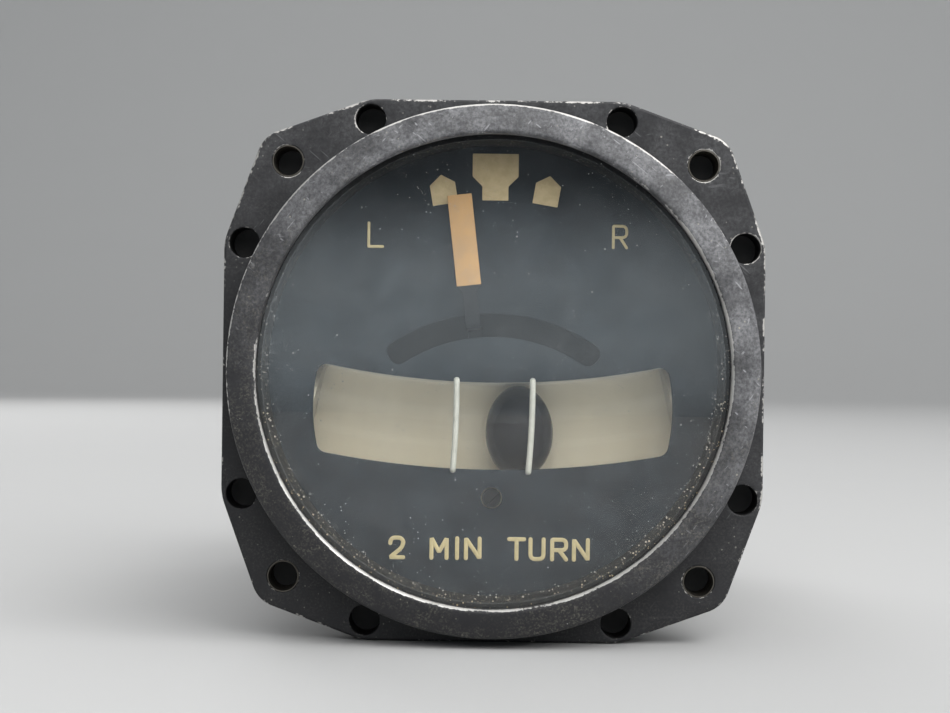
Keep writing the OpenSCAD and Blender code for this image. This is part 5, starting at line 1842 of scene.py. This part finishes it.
@dataclass
class Movement:
    """The gyro movement inside the case: its plates and bearings keep their CAD shapes."""

    pin_x: float = 0.653266
    pin_z: float = 10.9806
    stud_z: float = 26.717
    spring_y: float = 89.1
    turns: int = 9
    coil_radius: float = 2.0
    pitch: float = 1.15
    wire_radius: float = 0.35
    pin_hook: float = 1.35
    stud_hook: float = 1.65
    lead: float = 1.2

    def spring(self) -> tuple[Surface, Bend]:
        """The centering spring: a hook round the pin, nine turns, and a hook round the stud.

        A turn is (r cos a, r sin a, pitch a / turn). A hook is an arc in the plane of X and Z.

        Returns:
            The spring, and a Bend with the case as second body and points near the hook on the moving pin and
            at the hook on the stud.
        """
        length = self.turns * self.pitch + self.pin_hook + self.stud_hook + 2.0 * self.lead
        first = np.radians(np.linspace(-180.0, 80.0, 14))
        angle = np.linspace(0.0, TAU * self.turns, 24 * self.turns + 1)
        last = np.radians(np.linspace(260.0, 0.0, 14))
        low = np.stack([self.pin_hook * np.cos(first), 0 * first, self.pin_hook * np.sin(first)], axis=1)
        round_x, round_y = np.cos(angle + math.pi), np.sin(angle + math.pi)
        coil = np.stack([self.coil_radius * round_x, self.coil_radius * round_y,
                         self.pin_hook + self.lead + self.pitch * angle / TAU], axis=1)
        high = np.stack([self.stud_hook * np.cos(last), 0 * last,
                         length + self.stud_hook * np.sin(last)], axis=1)
        path = np.concatenate([low, coil, high])
        lean = math.atan2(-self.pin_x, self.stud_z - self.pin_z)
        ends = np.array([[0.0, 0.0, self.pin_hook + self.lead / 2.0], [0.0, 0.0, length - self.stud_hook]])
        x, y, z = np.concatenate([path, ends]).T
        x, z = turned(x, z, lean)
        placed = np.stack([self.pin_x + x, self.spring_y + y, self.pin_z + z], axis=1)
        return tube(placed[:-2], self.wire_radius, sides=10), Bend(Body.CASE, placed[-2], placed[-1])

    def build(self, shop: Workshop) -> None:
        """Makes the spring and dresses the rest of the movement.

        Args:
            shop: The workshop that makes the pieces.
        """
        coil, bend = self.spring()
        shop.piece("centering_spring_coil", coil, Body.GIMBAL, Slot.STEEL, Finish.STEEL, ["centering_spring"],
                   bend=bend)
        shop.dress(["front_plate"], Finish.INSIDE)
        shop.dress(["frame_pillars", "gimbal_frame"], Finish.ALLOY)
        shop.dress(["holder_screws", "limit_stops", "gimbal_front_bearing", "gimbal_rear_bearing",
                    "damper_screws", "gimbal_pivots", "drive_pin", "rear_crank_pins", "rotor_bearings",
                    "rotor_axle", "damper_rod"], Finish.STEEL)
        shop.dress(["staff_rear_bush", "damper_cylinder", "damper_piston", "air_nozzle", "drive_crank",
                    "rear_crank", "balance_weight", "bearing_caps", "rotor_wheel"], Finish.BRASS)


@dataclass
class RearFittings:
    """The rear cover with its screws, plug, suction nipple and filtered air inlet."""

    suction_x: float = -14.0
    suction_z: float = 14.0
    seat_y: float = 99.5
    hex_radius: float = 8.0
    hex_height: float = 5.0
    nipple_radius: float = 5.5
    nipple_length: float = 11.0
    flare: float = 3.0
    bore: float = 2.75
    thread_pitch: float = 1.25
    thread_depth: float = 0.5

    def nipple(self) -> Surface:
        """The suction nipple: a hexagon with broken corners, a threaded neck and a flared seat.

        Returns:
            The nipple.
        """
        hexagon = smoothed(circle(self.hex_radius, 6), 0.35, steps=3)
        base = plate(resampled(hexagon, 120), [circle(self.bore, 48)], self.seat_y,
                     self.seat_y + self.hex_height, edge=0.45, hole_edge=0.2, spacing=0.7, reach=0.5)
        near = self.seat_y + self.hex_height - 1.0
        shoulder = self.seat_y + self.hex_height + self.nipple_length - self.flare
        tip = shoulder + self.flare
        along = np.linspace(near, shoulder, 90)
        seat = np.array([[self.nipple_radius - 0.2, shoulder + 0.2], [self.bore + 1.05, tip - 0.2],
                         [self.bore + 0.85, tip], [self.bore, tip], [self.bore, near]])
        depth = np.concatenate([along, seat[:, 1]])
        radius = np.concatenate([np.full(len(along), self.nipple_radius), seat[:, 0]])
        starting = np.clip((along - near - 1.6) / 0.8, 0.0, 1.0)
        ending = np.clip((shoulder - along) / 0.5, 0.0, 1.0)
        where = np.concatenate([starting * ending, np.zeros(len(seat))])
        neck = helix(radius, depth, self.thread_pitch, self.thread_depth, segments=96, where=where)
        return joined([base, neck]).moved(self.suction_x, 0.0, self.suction_z)

    def build(self, shop: Workshop) -> None:
        """Makes the rear fittings.

        Args:
            shop: The workshop that makes the pieces.
        """
        shop.copy("rear_cover", Body.CASE, Slot.COVER, Finish.COVER, rounding=0.3)
        shop.copy("rear_cover_screws", Body.CASE, Slot.REAR_SCREW, Finish.REAR_SCREW, rounding=0.2)
        shop.copy("pillar_screws", Body.CASE, Slot.REAR_SCREW, Finish.REAR_SCREW, rounding=0.2)
        shop.copy("spring_stud", Body.CASE, Slot.REAR_SCREW, Finish.REAR_SCREW, rounding=0.2)
        shop.copy("damping_screw", Body.DAMPING_SCREW, Slot.BRASS, Finish.BRASS, rounding=0.15)
        shop.copy("rear_bearing_plug", Body.CASE, Slot.BRASS, Finish.BRASS, rounding=0.25)
        shop.copy("inlet_cap", Body.CASE, Slot.BRASS, Finish.BRASS, rounding=0.2)
        shop.piece("suction_nipple_threaded", self.nipple(), Body.CASE, Slot.BRASS, Finish.BRASS,
                   ["suction_nipple"])
        shop.dress(["rear_gasket"], Finish.FIBRE)
        shop.dress(["inlet_screen"], Finish.GAUZE)


@dataclass(frozen=True)
class Lamp:
    """A soft square lamp, with its places and size in metres and its power in watts."""

    name: str
    place: Triple
    aim: Triple
    size: float
    power: float

    def build(self) -> None:
        """Hangs the lamp at its place and turns it to its aim."""
        data = bpy.data.lights.new(self.name, "AREA")
        data.size = self.size
        data.energy = self.power
        lamp = bpy.data.objects.new(self.name, data)
        lamp.location = self.place
        lamp.rotation_euler = (Vector(self.aim) - Vector(self.place)).to_track_quat("-Z", "Y").to_euler()
        bpy.context.scene.collection.objects.link(lamp)


@dataclass
class Studio:
    """The camera, the lamps, the sky and a pale floor that curves up behind.

    The camera's place is in millimetres and its angles are in degrees. What it can see, and the floor's
    sizes, are in metres. The sky's band runs from its foot to its head, as heights on a sphere of radius 1.
    """

    camera_place: Triple = (-1.0, -259.56, 2.49)
    yaw: float = -0.392
    pitch: float = -0.068
    roll: float = 0.739
    lens: float = 65.03
    sensor: float = 36.0
    nearest: float = 0.01
    farthest: float = 50.0
    floor: Colour = (0.45, 0.45, 0.446)
    floor_gap: float = 0.00005
    floor_front: float = -1.0
    floor_bend: float = 1.5
    bend_radius: float = 0.9
    wall_top: float = 3.0
    floor_half: float = 4.0
    band: Colour = (1.25, 1.37, 1.45)
    band_foot: tuple[float, float] = (-0.07, 0.015)
    band_head: tuple[float, float] = (0.105, 0.035)
    zenith: Colour = (0.14, 0.15, 0.16)
    backdrop: Colour = (0.68, 0.68, 0.675)
    lamps: tuple[Lamp, ...] = (
        Lamp("ceiling_lamp", (0.45, 0.1, 2.3), (0.45, 0.1, 0.0), 3.6, 56.0),
        Lamp("key_lamp", (0.55, -0.48, 0.66), DIAL_AIM, 0.85, 9.0),
        Lamp("fill_lamp", (0.05, -1.05, 0.72), DIAL_AIM, 0.8, 5.4),
        Lamp("rear_lamp", (-0.45, 0.95, 0.55), DIAL_AIM, 0.7, 4.0))

    def camera(self) -> None:
        """Sets the camera up at the photograph's place, turned by yaw, pitch and roll."""
        yaw, pitch, roll = (math.radians(a) for a in (self.yaw, self.pitch, self.roll))
        ahead = Vector((math.sin(yaw) * math.cos(pitch), math.cos(yaw) * math.cos(pitch), math.sin(pitch)))
        right = ahead.cross(Vector((-math.sin(roll), 0.0, math.cos(roll)))).normalized()
        up = right.cross(ahead)
        data = bpy.data.cameras.new("camera")
        data.sensor_width = self.sensor
        data.lens = self.lens
        data.clip_start = self.nearest
        data.clip_end = self.farthest
        camera = bpy.data.objects.new("camera", data)
        turn = Matrix((right, up, -ahead)).transposed().to_4x4()
        camera.matrix_world = Matrix.Translation(Vector(self.camera_place) * MM) @ turn
        bpy.context.scene.collection.objects.link(camera)
        bpy.context.scene.camera = camera

    def ground(self) -> None:
        """The floor: flat, then a quarter circle up to a wall, carried across."""
        level = CAD_BOX[0].z - self.floor_gap
        t = np.linspace(0.0, math.pi / 2.0, 25)
        y = np.concatenate([[self.floor_front, 0.0], self.floor_bend + self.bend_radius * np.sin(t),
                            [self.floor_bend + self.bend_radius]])
        z = level + np.concatenate([[0.0, 0.0], self.bend_radius * (1 - np.cos(t)), [self.wall_top]])
        x = np.array([-self.floor_half, self.floor_half])
        points = np.stack(np.broadcast_arrays(x[None], y[:, None], z[:, None]), axis=-1).reshape(-1, 3)
        low = np.arange(len(y) - 1) * 2
        mesh = bpy.data.meshes.new("floor")
        mesh.from_pydata(points.tolist(), [], np.stack([low, low + 1, low + 3, low + 2], axis=1).tolist())
        mesh.shade_smooth()
        n = Nodes("pale_floor")
        shade = n.mix(n.noise(60.0, 2.0, 0.5), self.floor, tuple(0.985 * c for c in self.floor))
        mesh.materials.append(n.finish(n.shader(Base_Color=shade, Roughness=0.85)))
        floor = bpy.data.objects.new("floor", mesh)
        bpy.context.scene.collection.objects.link(floor)

    def light(self) -> None:
        """Hangs the lamps and sets the sky.

        The sky is bright and cool in a band about the horizon and dark overhead, so the cover glass shows a
        cool haze across the middle of the dial that fades towards its top. Behind the floor, the camera sees
        a plain pale backdrop.
        """
        for lamp in self.lamps:
            lamp.build()
        world = bpy.data.worlds.new("studio")
        bpy.context.scene.world = world
        world.use_nodes = True
        n = Tree(world.node_tree)
        way = n.add("ShaderNodeTexCoord").outputs["Generated"]
        height = n.add("ShaderNodeSeparateXYZ", {0: way}).outputs["Z"]
        band = n.times(n.ramp(height, *self.band_foot), n.ramp(height, *self.band_head))
        sky = n.mix(band, self.zenith, self.band)
        direct = n.add("ShaderNodeLightPath").outputs["Is Camera Ray"]
        back = n.add("ShaderNodeBackground", {"Color": n.mix(direct, sky, self.backdrop)})
        n.add("ShaderNodeOutputWorld", {"Surface": back.outputs[0]})
        bpy.context.scene.view_settings.view_transform = "Standard"

    def build(self) -> None:
        """Sets up everything around the instrument."""
        self.camera()
        self.ground()
        self.light()


def main() -> None:
    """Builds the studio and every sub-assembly."""
    logging.basicConfig(level=logging.INFO, format="%(name)s: %(message)s", stream=sys.stdout)
    Studio().build()
    shop = Workshop()
    for assembly in (CaseShell(), BezelAndGlass(), DialFace(), Inclinometer(), TurnHand(), Movement(),
                     RearFittings()):
        assembly.build(shop)
        LOG.info("finished %s", type(assembly).__name__)


if __name__ == "__main__":
    main()
